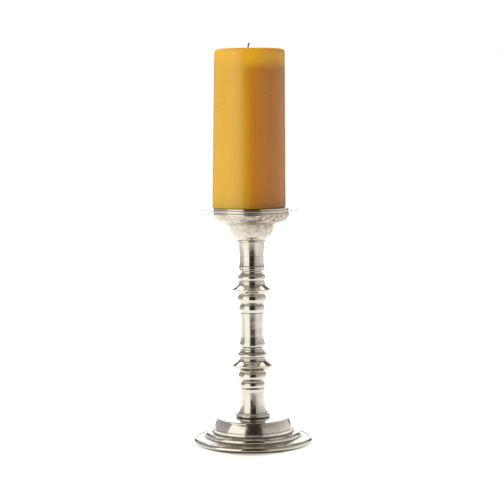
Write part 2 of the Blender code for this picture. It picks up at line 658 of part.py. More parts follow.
def make_nut(parent):
    """Hexagon nut: a six-sided prism whose corners are turned off top and bottom."""
    bore = ROD_RADIUS + FIT_CLEARANCE
    corner = NUT_ACROSS_FLATS / math.sqrt(3)
    flat = NUT_ACROSS_FLATS / 2
    shape = bmesh.new()
    bmesh.ops.create_cone(
        shape,
        cap_ends=True,
        segments=6,
        radius1=corner,
        radius2=corner,
        depth=NUT_HEIGHT,
        matrix=Matrix.Translation((0.0, 0.0, NUT_HEIGHT / 2)),
    )
    nut = finish_object("hex_nut", shape, STEEL, NUT_Z, parent)
    blank = Outline(0.0, NUT_HEIGHT)
    blank.line(flat, NUT_HEIGHT)
    blank.line(corner + NUT_CHAMFER, NUT_HEIGHT - NUT_CHAMFER)
    blank.line(corner + NUT_CHAMFER, NUT_CHAMFER)
    blank.line(flat, 0.0)
    blank.line(0.0, 0.0)
    hole = Outline(0.0, 2 * NUT_HEIGHT)
    hole.line(bore, 2 * NUT_HEIGHT)
    hole.line(bore, -NUT_HEIGHT)
    hole.line(0.0, -NUT_HEIGHT)
    cut(nut, turned("nut_blank", blank, SMALL_STEPS, STEEL, NUT_Z, parent), "INTERSECT")
    cut(nut, turned("nut_bore", hole, SMALL_STEPS, STEEL, NUT_Z, parent), "DIFFERENCE")
    return nut


def cut(piece, cutter, operation):
    """Cuts a piece with a hidden helper."""
    cutter.hide_render = True
    cutter.display_type = "WIRE"
    boolean = piece.modifiers.new(cutter.name, "BOOLEAN")
    boolean.operation = operation
    boolean.object = cutter


def make_candle(parent):
    """Candle: a moulded pillar with a little draft that leans on its foot, bored for pricket and wick."""
    outline = Outline(0.0, CANDLE_HEIGHT + CANDLE_MOUND_HEIGHT)
    outline.line(CANDLE_MOUND_RADIUS / 2, CANDLE_HEIGHT + CANDLE_MOUND_HEIGHT / 2)
    outline.line(CANDLE_MOUND_RADIUS, CANDLE_HEIGHT)
    outline.line(CANDLE_TOP_RADIUS - CANDLE_TOP_ROUND, CANDLE_HEIGHT)
    outline.quadrant(CANDLE_TOP_RADIUS, CANDLE_HEIGHT - CANDLE_TOP_ROUND, 6, level_first=True)
    outline.line(CANDLE_FOOT_RADIUS, CANDLE_FOOT_CHAMFER)
    outline.line(CANDLE_FOOT_RADIUS - CANDLE_FOOT_CHAMFER, 0.0)
    outline.line(0.0, 0.0)
    candle = turned("candle", outline, WIDE_STEPS, BEESWAX, CANDLE_Z, parent)
    candle.data.transform(Matrix.Shear("XY", 4, (CANDLE_LEAN / CANDLE_HEIGHT, 0.0)))
    candle.location.x = CANDLE_OFF_CENTRE

    wick_bore = WICK_RADIUS + FIT_CLEARANCE
    root = PRICKET_ROOT_RADIUS + 2 * FIT_CLEARANCE
    over = CANDLE_FOOT_CHAMFER
    spike_hole = Outline(0.0, PRICKET_HOLE_DEPTH)
    spike_hole.line(wick_bore, PRICKET_HOLE_DEPTH)
    spike_hole.line(root, 2 * PRICKET_ROOT_RADIUS + FIT_CLEARANCE)
    spike_hole.line(root, -over)
    spike_hole.line(0.0, -over)
    wick_hole = Outline(0.0, CANDLE_HEIGHT + 2 * over)
    wick_hole.line(wick_bore, CANDLE_HEIGHT + 2 * over)
    wick_hole.line(wick_bore, PRICKET_TIP_IN_CANDLE)
    wick_hole.line(0.0, PRICKET_TIP_IN_CANDLE)
    spike_cutter = turned("spike_hole", spike_hole, SMALL_STEPS, BEESWAX, CANDLE_Z, parent)
    wick_cutter = turned("wick_hole", wick_hole, SMALL_STEPS // 2, BEESWAX, CANDLE_Z, parent)
    wick_cutter.location.x = WICK_OFF_CENTRE
    cut(candle, spike_cutter, "DIFFERENCE")
    cut(candle, wick_cutter, "DIFFERENCE")
    return candle


def make_wick(parent):
    """Wick: runs up the candle's bore and bends over above the wax."""
    foot = PRICKET_TIP_IN_CANDLE + WICK_ABOVE_PRICKET
    wax = CANDLE_HEIGHT + CANDLE_MOUND_HEIGHT
    curve = bpy.data.curves.new("wick", "CURVE")
    curve.dimensions = "3D"
    curve.bevel_depth = WICK_RADIUS
    curve.bevel_resolution = 2
    curve.use_fill_caps = True
    spline = curve.splines.new("POLY")
    heights = [foot, wax / 2, wax]
    bends = [0.0, 0.0, 0.0]
    for step in range(1, 5):
        share = step / 4
        heights.append(wax + WICK_SHOWING * share)
        bends.append(WICK_LEAN * share * share)
    spline.points.add(len(heights) - 1)
    for point, height, bend in zip(spline.points, heights, bends):
        point.co = (bend, 0.0, height, 1.0)
    curve.materials.append(material("wick", COTTON))
    wick = bpy.data.objects.new("wick", curve)
    bpy.context.scene.collection.objects.link(wick)
    wick.parent = parent
    wick.location = (WICK_OFF_CENTRE, 0.0, CANDLE_Z)
    return wick


def group(name):
    empty = bpy.data.objects.new(name, None)
    bpy.context.scene.collection.objects.link(empty)
    return empty


def main():
    for old in list(bpy.data.objects):
        bpy.data.objects.remove(old)
    stand = group("stand_frame")
    make_foot(stand)
    make_lower_stem(stand)
    make_knop("lower_knop", LOWER_KNOP, LOWER_KNOP_Z, stand)
    make_middle_stem(stand)
    make_knop("upper_knop", UPPER_KNOP, UPPER_KNOP_Z, stand)
    make_upper_stem(stand)
    make_cup(stand)
    make_drip_plate(stand)
    make_pricket(stand)
    make_tie_rod(stand)
    make_washer(stand)
    make_lock_washer(stand)
    make_nut(stand)
    lifting = group("candle_frame")
    make_candle(lifting)
    make_wick(lifting)


main()
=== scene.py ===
"""Looks of a turned pewter pillar candlestick with a beeswax candle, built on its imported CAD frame."""

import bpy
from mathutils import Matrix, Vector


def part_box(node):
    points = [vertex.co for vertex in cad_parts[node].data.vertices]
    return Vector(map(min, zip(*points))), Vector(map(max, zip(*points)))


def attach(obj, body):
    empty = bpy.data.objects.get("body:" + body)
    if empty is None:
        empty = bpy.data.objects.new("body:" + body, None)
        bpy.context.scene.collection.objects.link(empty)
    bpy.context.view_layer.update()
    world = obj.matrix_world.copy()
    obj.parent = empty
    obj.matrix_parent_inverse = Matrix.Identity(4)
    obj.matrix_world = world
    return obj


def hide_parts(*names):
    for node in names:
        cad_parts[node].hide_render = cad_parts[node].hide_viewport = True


bl_info = {
    "name": "Pewter pillar candlestick",
    "version": (1, 0, 0),
    "blender": (4, 5, 0),
    "location": "3D View > Sidebar > Candlestick",
    "description": "Builds the looks of a turned pewter candlestick and its beeswax candle",
    "category": "Object",
}

import math

import bmesh
import bpy
import numpy as np
from mathutils import Euler, Matrix, Quaternion, Vector

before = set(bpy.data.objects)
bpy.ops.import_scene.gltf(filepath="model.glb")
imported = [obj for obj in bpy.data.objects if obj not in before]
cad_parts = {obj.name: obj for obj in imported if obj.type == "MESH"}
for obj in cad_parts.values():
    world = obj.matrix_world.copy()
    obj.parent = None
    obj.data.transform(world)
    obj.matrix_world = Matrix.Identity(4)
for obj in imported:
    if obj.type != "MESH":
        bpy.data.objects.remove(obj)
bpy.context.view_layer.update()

MM = 0.001


def seat_of(node, below=0.0):
    """Height of the face that a piece stands on, given how many millimetres its tenon reaches below it."""
    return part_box(node)[0].z + below * MM


def linear(code):
    """Turns an sRGB hex colour into linear red, green and blue."""
    shares = [(code >> shift & 255) / 255 for shift in (16, 8, 0)]
    return [share / 12.92 if share <= 0.04045 else ((share + 0.055) / 1.055) ** 2.4 for share in shares]


def shaded(colour, strength):
    """A colour made brighter or darker."""
    return [strength * share for share in colour]


def count_field(name, description, count, least):
    """A whole number for the panel."""
    return bpy.props.IntProperty(name=name, description=description, default=count, min=least)


def length_field(name, description, millimetres):
    """A length for the panel."""
    length = millimetres * MM
    return bpy.props.FloatProperty(name=name, description=description, default=length, unit="LENGTH")


def colour_field(name, description, code):
    """A colour for the panel, from its sRGB hex code."""
    return bpy.props.FloatVectorProperty(
        name=name, description=description, default=linear(code), size=3, subtype="COLOR"
    )


class TurningSizes(bpy.types.PropertyGroup):
    """How finely the castings are turned"""

    wide_steps: count_field("Wide steps", "Facets round the foot, plate and candle", 168, 32)
    stack_steps: count_field("Stack steps", "Facets round the stems, knops and cup", 128, 32)
    small_steps: count_field("Small steps", "Facets round the steel fittings", 64, 16)
    arris: length_field("Arris", "How far a polished edge is rounded back", 0.35)
    tool_line: length_field("Tool line", "Depth of the thin turned lines", 0.16)


class CandleSizes(bpy.types.PropertyGroup):
    """The candle and its wick"""

    height: length_field("Height", "Candle from its foot to its flat top", 164.5)
    strands: count_field("Strands", "Yarns in the wick", 3, 2)
    lay: length_field("Lay", "Length of wick in which a yarn goes once round", 2.4)
    # The glow is painted into the wax's colour
    glow: length_field("Glow", "How far light soaks down from the top edge", 15.0)


class Finishes(bpy.types.PropertyGroup):
    """Colours of the object and of the studio"""

    pewter: colour_field("Pewter", "Polished pewter", 0xDFDAD1)
    # Dark colour for oxide in the fine grooves and for painted shade in the wider recesses
    patina_and_shade: colour_field("Patina", "Oxide left in the grooves", 0x5E554A)
    # Stain colour, used for real stain clouds and for painted shade on the cup and on its right side
    stain_and_shade: colour_field("Stain", "Pewter stained by wax and fingers", 0x8E7C6C)
    steel: colour_field("Steel", "Zinc-plated steel", 0xA9ABAD)
    passivation: colour_field("Passivation", "Yellower clouds on the plating", 0x8B8A80)
    # Pale wax and pale lit wax are painted light for the candle's lit left side; the lit colours are a glow
    # painted near its top
    pale_wax: colour_field("Pale wax", "Beeswax bleached by daylight", 0xDEAF36)
    wax: colour_field("Wax", "Amber beeswax", 0xDA9425)
    lit_side_glow: colour_field("Pale lit wax", "Bleached wax near the top", 0xE6B634)
    glow: colour_field("Lit wax", "Wax near the top, where light comes through", 0xFFCB34)
    speck: colour_field("Speck", "Pollen in the wax", 0x6B3F10)
    wick: colour_field("Wick", "Charred cotton", 0x1B1714)
    wet_wick: colour_field("Wet wick", "Cotton wetted by wax", 0x4A3318)
    floor: colour_field("Floor", "Seamless white paper", 0xF2F1EE)
    dark: colour_field("Dark card", "Black flag behind the camera", 0x231E19)
    room: colour_field("Room", "Walls and ceiling past the cards", 0x80776A)
    key: colour_field("Key card", "Card on the left that lights the metal", 0xFFFCF4)
    cool: colour_field("Cool card", "Card on the far left", 0xF6F4FA)
    warm: colour_field("Warm card", "Cards on the right", 0xFFFDF8)


# Lengths are in millimetres and angles in degrees, up to the stage

# Foot, from the floor up
FOOT_RADIUS = 62.8
FOOT_EDGE_HEIGHT = 1.5
FOOT_EDGE_CHAMFER = 0.4
RIM_ROLL_HEIGHT = 3.8
RIM_ROLL_WIDTH = 3.6
RIM_CREASE_DEPTH = 0.5
LEDGE_RISE = 1.8
LEDGE_DISH = 0.3
OVOLO_QUIRK = 0.5
OVOLO_BASE_RADIUS = 50.4
OVOLO_HEIGHT = 4.1
OVOLO_WIDTH = 3.9
OVOLO_LINE_SHARE = 0.42
OVOLO_LINE_HEIGHT = 10.6
OVOLO_LINE_WIDTH = 0.3
DRUM_FOOT_RADIUS = 44.3
DRUM_COVE_HEIGHT = 0.8
DRUM_COVE_WIDTH = 1.7
DRUM_FILLET_HEIGHT = 2.8
DRUM_FILLET_LEAN = 0.3
DRUM_CREASE_DEPTH = 0.5
DRUM_WALL_HEIGHT = 9.6
DRUM_WALL_LEAN = 3.7
DRUM_WALL_SWELL = 0.4
SHOULDER_HEIGHT = 1.4
SHOULDER_WIDTH = 1.2
CROWN_RISE = 0.9
CROWN_SWELL = 0.3
CROWN_SEAT_RADIUS = 19.0
FOOT_WALL = 2.6
FOOT_RING_WIDTH = 3.0
FOOT_HUB_RADIUS = 20.0

# Tenons and bores that every casting of the stack shares
TENON_RADIUS = 7.5
TENON_LENGTH = 3.6
TENON_BORE_RADIUS = 5.0
TENON_FLOOR = 2.5
STACK_BORE_RADIUS = 7.8

# The two knops, from the bottom up. A round or an under has radius, swell and height, the neck, flange and
# groove have radius and height, and band and shoulder have low radius, high radius, hollow and height.
LOWER_KNOP = {
    "bead": (13.4, 0.9, 6.0),
    "neck": (11.8, 2.1),
    "low_torus": (15.2, 2.1, 8.8),
    "under": (13.6, 0.7, 6.6),
    "flange": (21.2, 0.9),
    "cone": 4.4,
    "band": (14.7, 14.0, 0.4, 4.4),
    "high_torus": (15.5, 1.3, 4.4),
    "shoulder": (13.8, 12.3, 0.3, 3.3),
    "groove": (11.1, 2.1),
}
UPPER_KNOP = {
    "bead": (13.7, 1.0, 7.8),
    "neck": (12.0, 2.0),
    "low_torus": (15.2, 2.1, 9.4),
    "under": (14.3, 0.6, 4.8),
    "flange": (20.6, 0.9),
    "cone": 4.0,
    "band": (14.5, 13.9, 0.3, 4.7),
    "high_torus": (14.8, 1.2, 6.0),
    "shoulder": (13.1, 12.3, 0.1, 1.5),
    "groove": (11.2, 2.1),
}

# Thin turned lines on the stems: radius, height above the seat and width
LOWER_STEM_LINE = (15.0, 6.2, 0.22)
MIDDLE_STEM_LINE = (13.0, 4.6, 0.22)
UPPER_STEM_LINE = (13.2, 5.8, 0.22)

# Drip plate and steel fittings
PLATE_SPIGOT_LENGTH = 1.5
PRICKET_SHANK_LENGTH = 14.5
FITTING_BORE_RADIUS = 3.3
THREAD_PITCH = 1.0
THREAD_DEPTH = 0.45
THREAD_LENGTH = 18.0
THREAD_ROW = 0.25
THREAD_FACETS = 24
SPREADER_RADIUS = 15.0
SPREADER_THICKNESS = 1.6
LOCK_WASHER_RADIUS = 5.6
LOCK_WASHER_TURN = 346.0
LOCK_WASHER_EDGE = 0.12
NUT_HALF_WIDTH = 5.0
NUT_EDGE = 0.1
NUT_CHAMFER = 0.7

# Candle
CANDLE_FOOT_RADIUS = 38.4
CANDLE_TOP_RADIUS = 36.8
CANDLE_OFF_CENTRE = -2.2
CANDLE_LEAN = 2.0
CANDLE_FOOT_CHAMFER = 0.4
CANDLE_TOP_ROUND = 3.8
CANDLE_MOUND_HEIGHT = 0.8
CANDLE_MOUND_RADIUS = 17.0
CANDLE_MOUND_SWELL = 0.3
WICK_HOLE_RADIUS = 1.1
WICK_OFF_CENTRE = -1.8
WICK_LEAN = 1.3
WICK_BENDS = 6
WICK_END = 0.3
YARN_RADIUS = 0.48
YARN_TWIST = 0.32
YARN_STEP = 0.3
YARN_FACETS = 8

# How an outline is finished
ARC_STEPS = 18
CORNER_ANGLE = 17.0
CORNER_STEPS = 5
CORNER_SHARE = 0.36
POINTS_APART = 0.5
GROOVE_REACH = 0.7
GROOVE_DEPTH = 0.12
RECESS_REACH = 2.6
RECESS_DEPTH = 0.8
RECESS_SHARE = 0.85
SHARP_ANGLE = 38.0
WELD = 0.001

# Stage, in metres and degrees
PAPER_FADE = 0.45
PAPER_FRONT = 0.75
PAPER_SIDE = 0.8
PAPER_BACK = 9.0
PAPER_IN_METAL = 0.6
SHADE_REACH = 0.03
SHADE_DEPTH = 5.0
CARD_DISTANCE = 2.3
SOFTBOX_DISTANCE = 2.2
CARD_FOOT = -4.0
CARD_EDGE = 0.01
CARD_COLUMNS = 24
ROOM_FOOT = 2.4
ROOM_TOP = 6.0
LAMP_AIM = Vector((0.0, 0.0, 0.25))
# Colour, watts, width and height, and place of each lamp
LAMPS = {
    "key_lamp": ((0.94, 1.0, 0.9), 29.0, (1.0, 1.4), (-1.5, -0.9, 0.9)),
    "fill_lamp": ((1.0, 0.7, 0.4), 5.0, (1.2, 1.4), (1.7, -0.9, 0.8)),
    "rear_lamp": ((1.0, 0.99, 0.96), 60.0, (1.7, 0.5), (0.15, 1.66, 1.3)),
}
SKY_ON_OBJECT = (0.2, 0.17, 0.11)
CAMERA_PLACE = (-0.00157, -1.7243, 0.3416)
CAMERA_LENS = 118.8
CAMERA_SENSOR = 36.0
CAMERA_CLIP = (0.05, 60.0)
CAMERA_DOWN = 4.6
CAMERA_ROLL = -0.52


class Outline:
    """Half of a turned section, drawn point by point as (radius, height)."""

    def __init__(self, radius, height):
        self.points = [(radius, height)]

    def line(self, *points):
        """Straight stretches to points."""
        self.points += points
        return self

    def arc(self, radius, height, swell):
        """A circular arc to a point. Its middle stands swell to the right of the way there."""
        start = Vector(self.points[-1])
        end = Vector((radius, height))
        chord = end - start
        half = chord.length / 2
        bend = (half * half + swell * swell) / (2 * abs(swell))
        side = Vector((chord.y, -chord.x)).normalized() * math.copysign(1.0, swell)
        centre = (start + end) / 2 + side * (abs(swell) - bend)
        turn = 2 * math.asin(min(1.0, half / bend)) * math.copysign(1.0, swell)
        for step in range(1, ARC_STEPS):
            spoke = Matrix.Rotation(turn * step / ARC_STEPS, 2) @ (start - centre)
            self.points.append(tuple(centre + spoke))
        return self.line((radius, height))

    def quadrant(self, radius, height, level_first):
        """A quarter of an ellipse to a point, which leaves level or leaves upright."""
        start_radius, start_height = self.points[-1]
        wide = radius - start_radius
        tall = height - start_height
        for step in range(1, ARC_STEPS + 1):
            angle = math.pi / 2 * step / ARC_STEPS
            level, upright = math.sin(angle), 1 - math.cos(angle)
            if not level_first:
                level, upright = upright, level
            self.points.append((start_radius + wide * level, start_height + tall * upright))
        return self

    def stack_bore(self, length, tenon=TENON_LENGTH):
        """Ends a casting: its tenon below the seat, the tenon's bore and the wide bore above it."""
        return self.line(
            (TENON_RADIUS, 0.0), (TENON_RADIUS, -tenon), (TENON_BORE_RADIUS, -tenon),
            (TENON_BORE_RADIUS, TENON_FLOOR),
            (STACK_BORE_RADIUS, TENON_FLOOR + STACK_BORE_RADIUS - TENON_BORE_RADIUS),
            (STACK_BORE_RADIUS, length),
        )


def eased(points, arris):
    """Rounds each sharp corner of a closed outline, as polishing does."""
    corners = []
    for index, point in enumerate(points):
        before = Vector(point) - Vector(points[index - 1])
        after = Vector(points[(index + 1) % len(points)]) - Vector(point)
        real = before.length > 1e-9 and after.length > 1e-9 and point[0] > WELD * MM
        if real and before.angle(after) > math.radians(CORNER_ANGLE):
            corners.append(index)
    if not corners:
        return points
    made = []
    for index, stop in zip(corners, corners[1:] + corners[:1]):
        stretch = [Vector(points[index])]
        step = (index + 1) % len(points)
        while step != stop:
            stretch.append(Vector(points[step]))
            step = (step + 1) % len(points)
        stretch.append(Vector(points[stop]))
        runs = np.cumsum([0.0] + [(b - a).length for a, b in zip(stretch, stretch[1:])])
        cut = min(arris, CORNER_SHARE * runs[-1])
        inner = [p for p, run in zip(stretch, runs) if cut < run < runs[-1] - cut]
        made.append((point_on(stretch, runs, cut), inner, point_on(stretch, runs, runs[-1] - cut)))
    rounded = []
    following = [start for start, _, _ in made[1:] + made[:1]]
    for (start, inner, end), index, leaving in zip(made, corners[1:] + corners[:1], following):
        corner = Vector(points[index])
        rounded += [start, *inner]
        for step in range(CORNER_STEPS):
            share = step / CORNER_STEPS
            rounded.append(end.lerp(corner, share).lerp(corner.lerp(leaving, share), share))
    return [tuple(point) for point in rounded]


def point_on(stretch, runs, distance):
    """The point at a distance along a stretch of outline."""
    for start, end, low, high in zip(stretch, stretch[1:], runs, runs[1:]):
        if distance <= high and high > low:
            return start.lerp(end, (distance - low) / (high - low))
    return stretch[-1].copy()


def dense(points, longest):
    """Splits long stretches of an outline, so that lines can be cut into it."""
    made = []
    for start, end in zip(points, points[1:] + points[:1]):
        start, end = Vector(start), Vector(end)
        count = max(1, math.ceil((end - start).length / longest))
        made += [tuple(start.lerp(end, step / count)) for step in range(count)]
    return made


def outward(points):
    """Unit vectors that point out of the metal along a closed outline."""
    way = np.roll(points, -1, axis=0) - np.roll(points, 1, axis=0)
    sideways = np.stack([-way[:, 1], way[:, 0]], axis=1)
    return sideways / np.maximum(np.linalg.norm(sideways, axis=1, keepdims=True), 1e-12)


def sunk(points, reach):
    """How far each point of a closed outline lies below the outline averaged over a reach."""
    runs = np.linalg.norm(np.roll(points, -1, axis=0) - points, axis=1)
    along = np.concatenate([[0.0], np.cumsum(runs)[:-1]])
    apart = np.abs(along[:, None] - along[None, :])
    apart = np.minimum(apart, runs.sum() - apart)
    weight = np.exp(-((apart / reach) ** 2)) * (runs + np.roll(runs, 1))[None, :]
    soft = weight @ points / weight.sum(axis=1, keepdims=True)
    return ((soft - points) * outward(points)).sum(axis=1)


def turned_profile(outline, sizes, lines, patina_and_shade_share):
    """Points of a finished outline in metres, and how deep in a groove each of them lies, from 0 to 1."""
    drawn = [(radius * MM, height * MM) for radius, height in outline.points]
    points = np.array(dense(eased(drawn, sizes.arris), POINTS_APART * MM))
    normals = outward(points)
    for radius, height, wide in lines:
        away = np.linalg.norm(points / MM - np.array([radius, height]), axis=1)
        points = points - normals * (sizes.tool_line * np.exp(-((away / wide) ** 2)))[:, None]
    # The fine grooves hold oxide; the wider recesses are darkened as painted shade
    groove = sunk(points, GROOVE_REACH * MM) / (GROOVE_DEPTH * MM)
    recess = sunk(points, RECESS_REACH * MM) / (RECESS_DEPTH * MM)
    hollow = np.maximum(groove, RECESS_SHARE * np.clip(recess, 0.0, 1.0))
    return points, patina_and_shade_share * np.clip(hollow, 0.0, 1.0)


def add(tree, kind, inputs=None, **settings):
    """Adds a node: settings are its attributes, and inputs hold a value or a socket for each input."""
    node = tree.nodes.new(kind)
    for name, value in settings.items():
        setattr(node, name, value)
    for key, value in (inputs or {}).items():
        if isinstance(value, bpy.types.NodeSocket):
            tree.links.new(value, node.inputs[key])
        else:
            node.inputs[key].default_value = value
    return node


def shader(tree, kind, inputs=None, **settings):
    """Adds a shader node and returns its first output."""
    return add(tree, "ShaderNode" + kind, inputs, **settings).outputs[0]


def geometry(tree, kind, inputs=None, **settings):
    """Adds a geometry node and returns its first output."""
    return add(tree, "GeometryNode" + kind, inputs, **settings).outputs[0]


def maths(tree, operation, *values, clamp=False):
    """The result of a sum on numbers or sockets."""
    return shader(tree, "Math", dict(enumerate(values)), operation=operation, use_clamp=clamp)


def product(tree, first, *others):
    """Numbers or sockets multiplied."""
    for other in others:
        first = maths(tree, "MULTIPLY", first, other)
    return first


def ranged(tree, value, low, high, to_low=0.0, to_high=1.0, curve="LINEAR"):
    """A value carried from one range to another and held at its ends."""
    inputs = {"Value": value, "From Min": low, "From Max": high, "To Min": to_low, "To Max": to_high}
    return shader(tree, "MapRange", inputs, interpolation_type=curve)


def combined(tree, *shares):
    """A vector from its x, y and z."""
    return shader(tree, "CombineXYZ", dict(enumerate(shares)))


def split(tree, vector):
    """A vector's x, y and z."""
    return add(tree, "ShaderNodeSeparateXYZ", {0: vector}).outputs


def length_of(tree, vector):
    """A vector's length."""
    return add(tree, "ShaderNodeVectorMath", {0: vector}, operation="LENGTH").outputs["Value"]


def placed(tree):
    """Object coordinates, and x, y and z by themselves."""
    place = add(tree, "ShaderNodeTexCoord").outputs["Object"]
    return place, *split(tree, place)


def mapped(tree, place, **moves):
    """Coordinates that are moved, turned or scaled."""
    return shader(tree, "Mapping", {"Vector": place, **moves})


def noise(tree, place, scale, detail, roughness=0.5):
    """Clouds of noise, scale to the metre."""
    inputs = {"Vector": place, "Scale": scale, "Detail": detail, "Roughness": roughness}
    return shader(tree, "TexNoise", inputs)


def blend(tree, share, *colours):
    """A colour between two. Each is a socket, or red, green and blue."""
    first, second = [c if isinstance(c, bpy.types.NodeSocket) else (*c, 1.0) for c in colours]
    return add(tree, "ShaderNodeMix", {0: share, 6: first, 7: second}, data_type="RGBA").outputs[2]


def bumped(tree, height, strength, millimetres, **under):
    """A normal that follows a pattern, over the normal under it."""
    inputs = {"Height": height, "Strength": strength, "Distance": millimetres * MM, **under}
    return shader(tree, "Bump", inputs)


def principled(tree, colour, rough, **more):
    """A surface with a colour, a roughness and what else its sockets are given."""
    return shader(tree, "BsdfPrincipled", {"Base Color": colour, "Roughness": rough, **more})


def made_of(draw):
    """The material that a function draws, made once and used again. The function returns its surface."""
    made = bpy.data.materials.get(draw.__name__)
    if not made:
        made = bpy.data.materials.new(draw.__name__)
        made.use_nodes = True
        made.node_tree.nodes.clear()
        surface = draw(made.node_tree, bpy.context.scene.candlestick_finishes)
        add(made.node_tree, "ShaderNodeOutputMaterial", {"Surface": surface})
    return made


def tree_of(draw):
    """The Geometry Nodes tree that a function draws, made once and used again."""
    tree = bpy.data.node_groups.get(draw.__name__)
    if not tree:
        tree = bpy.data.node_groups.new(draw.__name__, "GeometryNodeTree")
        draw(tree)
    return tree


def sockets(tree, kinds, result):
    """Gives a tree its named inputs and its result, and returns the inputs' sockets."""
    for name, kind in {**kinds, "Finish": "Material"}.items():
        tree.interface.new_socket(name, in_out="INPUT", socket_type="NodeSocket" + kind)
    tree.interface.new_socket(result, in_out="OUTPUT", socket_type="NodeSocketGeometry")
    return add(tree, "NodeGroupInput").outputs


def result(tree, shape, finish):
    """Ends a tree: its geometry becomes a plain mesh with its finish."""
    real = geometry(tree, "RealizeInstances", {"Geometry": shape})
    finished = geometry(tree, "SetMaterial", {"Geometry": real, "Material": finish})
    add(tree, "NodeGroupOutput", {0: finished})


def sampled(tree, outline, value, corner, kind):
    """A value read at one corner of an outline."""
    inputs = {"Geometry": outline, "Value": value, "Index": corner}
    return geometry(tree, "SampleIndex", inputs, data_type=kind, domain="POINT")


def lathe(tree):
    """Spins a closed outline of edges once round the upright axis."""
    given = sockets(tree, {"Outline": "Geometry", "Steps": "Int"}, "Casting")
    corners = geometry(tree, "AttributeDomainSize", {0: given["Outline"]}, component="MESH")
    rows, columns = maths(tree, "ADD", corners, 1.0), maths(tree, "ADD", given["Steps"], 1.0)
    grid = geometry(tree, "MeshGrid", {"Vertices X": columns, "Vertices Y": rows})
    index = geometry(tree, "InputIndex")
    column = maths(tree, "FLOOR", maths(tree, "DIVIDE", index, rows))
    corner = maths(tree, "MODULO", maths(tree, "MODULO", index, rows), corners)
    angle = product(tree, maths(tree, "DIVIDE", column, given["Steps"]), math.tau)
    point = sampled(tree, given["Outline"], geometry(tree, "InputPosition"), corner, "FLOAT_VECTOR")
    spin = shader(tree, "VectorRotate", {"Vector": point, "Angle": angle}, rotation_type="Z_AXIS")
    spun = geometry(tree, "SetPosition", {"Geometry": grid, "Position": spin})
    groove = geometry(tree, "InputNamedAttribute", {"Name": "groove"}, data_type="FLOAT")
    depth = sampled(tree, given["Outline"], groove, corner, "FLOAT")
    inputs = {"Geometry": spun, "Name": "groove", "Value": depth}
    marked = geometry(tree, "StoreNamedAttribute", inputs, data_type="FLOAT", domain="POINT")
    closed = geometry(tree, "MergeByDistance", {"Geometry": marked, "Distance": WELD * MM})
    result(tree, geometry(tree, "SetShadeSmooth", {"Geometry": closed}), given["Finish"])


def threaded_rod(tree):
    """Makes a rod with a helical thread at both ends."""
    lengths = dict.fromkeys(("Radius", "Pitch", "Depth", "Length", "Threaded"), "Float")
    given = sockets(tree, {"Start": "Geometry", **lengths, "Steps": "Int", "Rows": "Int"}, "Rod")
    names = {"Vertices": "Steps", "Side Segments": "Rows", "Radius": "Radius", "Depth": "Length"}
    sizes = {own: given[name] for own, name in names.items()}
    tube = geometry(tree, "MeshCylinder", sizes, fill_type="NGON")
    x, y, z = split(tree, geometry(tree, "InputPosition"))
    turn = maths(tree, "DIVIDE", maths(tree, "ARCTAN2", y, x), math.tau)
    phase = maths(tree, "SUBTRACT", maths(tree, "DIVIDE", z, given["Pitch"]), turn)
    valley = product(tree, maths(tree, "PINGPONG", phase, 0.5), 2.0)
    plain = maths(tree, "SUBTRACT", product(tree, given["Length"], 0.5), given["Threaded"])
    threaded = maths(tree, "GREATER_THAN", maths(tree, "ABSOLUTE", z), plain)
    depth = product(tree, valley, given["Depth"], threaded)
    scale = maths(tree, "SUBTRACT", 1.0, maths(tree, "DIVIDE", depth, given["Radius"]))
    cut = combined(tree, product(tree, x, scale), product(tree, y, scale), z)
    result(tree, geometry(tree, "SetPosition", {"Geometry": tube, "Position": cut}), given["Finish"])


def braid(tree):
    """Lays twisted yarns along a path."""
    lengths = dict.fromkeys(("Yarn radius", "Twist radius", "Lay", "Step"), "Float")
    given = sockets(tree, {"Path": "Geometry", "Strands": "Int", **lengths}, "Wick")
    line = geometry(tree, "MeshToCurve", {0: given["Path"]})
    even = geometry(tree, "ResampleCurve", {"Curve": line, "Length": given["Step"]}, mode="LENGTH")
    inputs = {"Geometry": even, "Amount": given["Strands"]}
    copies, number = add(tree, "GeometryNodeDuplicateElements", inputs, domain="SPLINE").outputs
    run = add(tree, "GeometryNodeSplineParameter").outputs["Length"]
    share = maths(tree, "DIVIDE", number, given["Strands"])
    turns = maths(tree, "ADD", maths(tree, "DIVIDE", run, given["Lay"]), share)
    angle = product(tree, turns, math.tau)
    aside = combined(tree, maths(tree, "COSINE", angle), maths(tree, "SINE", angle))
    aside = shader(tree, "VectorMath", {0: aside, "Scale": given["Twist radius"]}, operation="SCALE")
    twisted = geometry(tree, "SetPosition", {"Geometry": copies, "Offset": aside})
    section = {"Resolution": YARN_FACETS, "Radius": given["Yarn radius"]}
    ring = geometry(tree, "CurvePrimitiveCircle", section, mode="RADIUS")
    yarns = geometry(tree, "CurveToMesh", {"Curve": twisted, "Profile Curve": ring, "Fill Caps": True})
    result(tree, yarns, given["Finish"])


def socket_id(tree, name):
    """Identifier of a tree's named input."""
    items = tree.interface.items_tree
    return next(item.identifier for item in items if item.name == name and item.in_out == "INPUT")


def linked(name, data):
    """A mesh, a lamp or a camera as an object in the scene."""
    made = bpy.data.objects.new(name, data)
    bpy.context.scene.collection.objects.link(made)
    return made


def evaluated(piece):
    """A mesh of a piece with its modifiers applied."""
    return bpy.data.meshes.new_from_object(piece.evaluated_get(bpy.context.evaluated_depsgraph_get()))


def from_tree(name, mesh, tree, inputs, finish):
    """Runs a tree over a mesh and returns the result as a plain mesh object with one finish."""
    source = linked(name + "_source", mesh)
    modifier = source.modifiers.new("make", "NODES")
    modifier.node_group = tree
    for key, value in {**inputs, "Finish": finish}.items():
        modifier[socket_id(tree, key)] = value
    made = evaluated(source)
    bpy.data.objects.remove(source)
    return plain_object(name, made, finish)


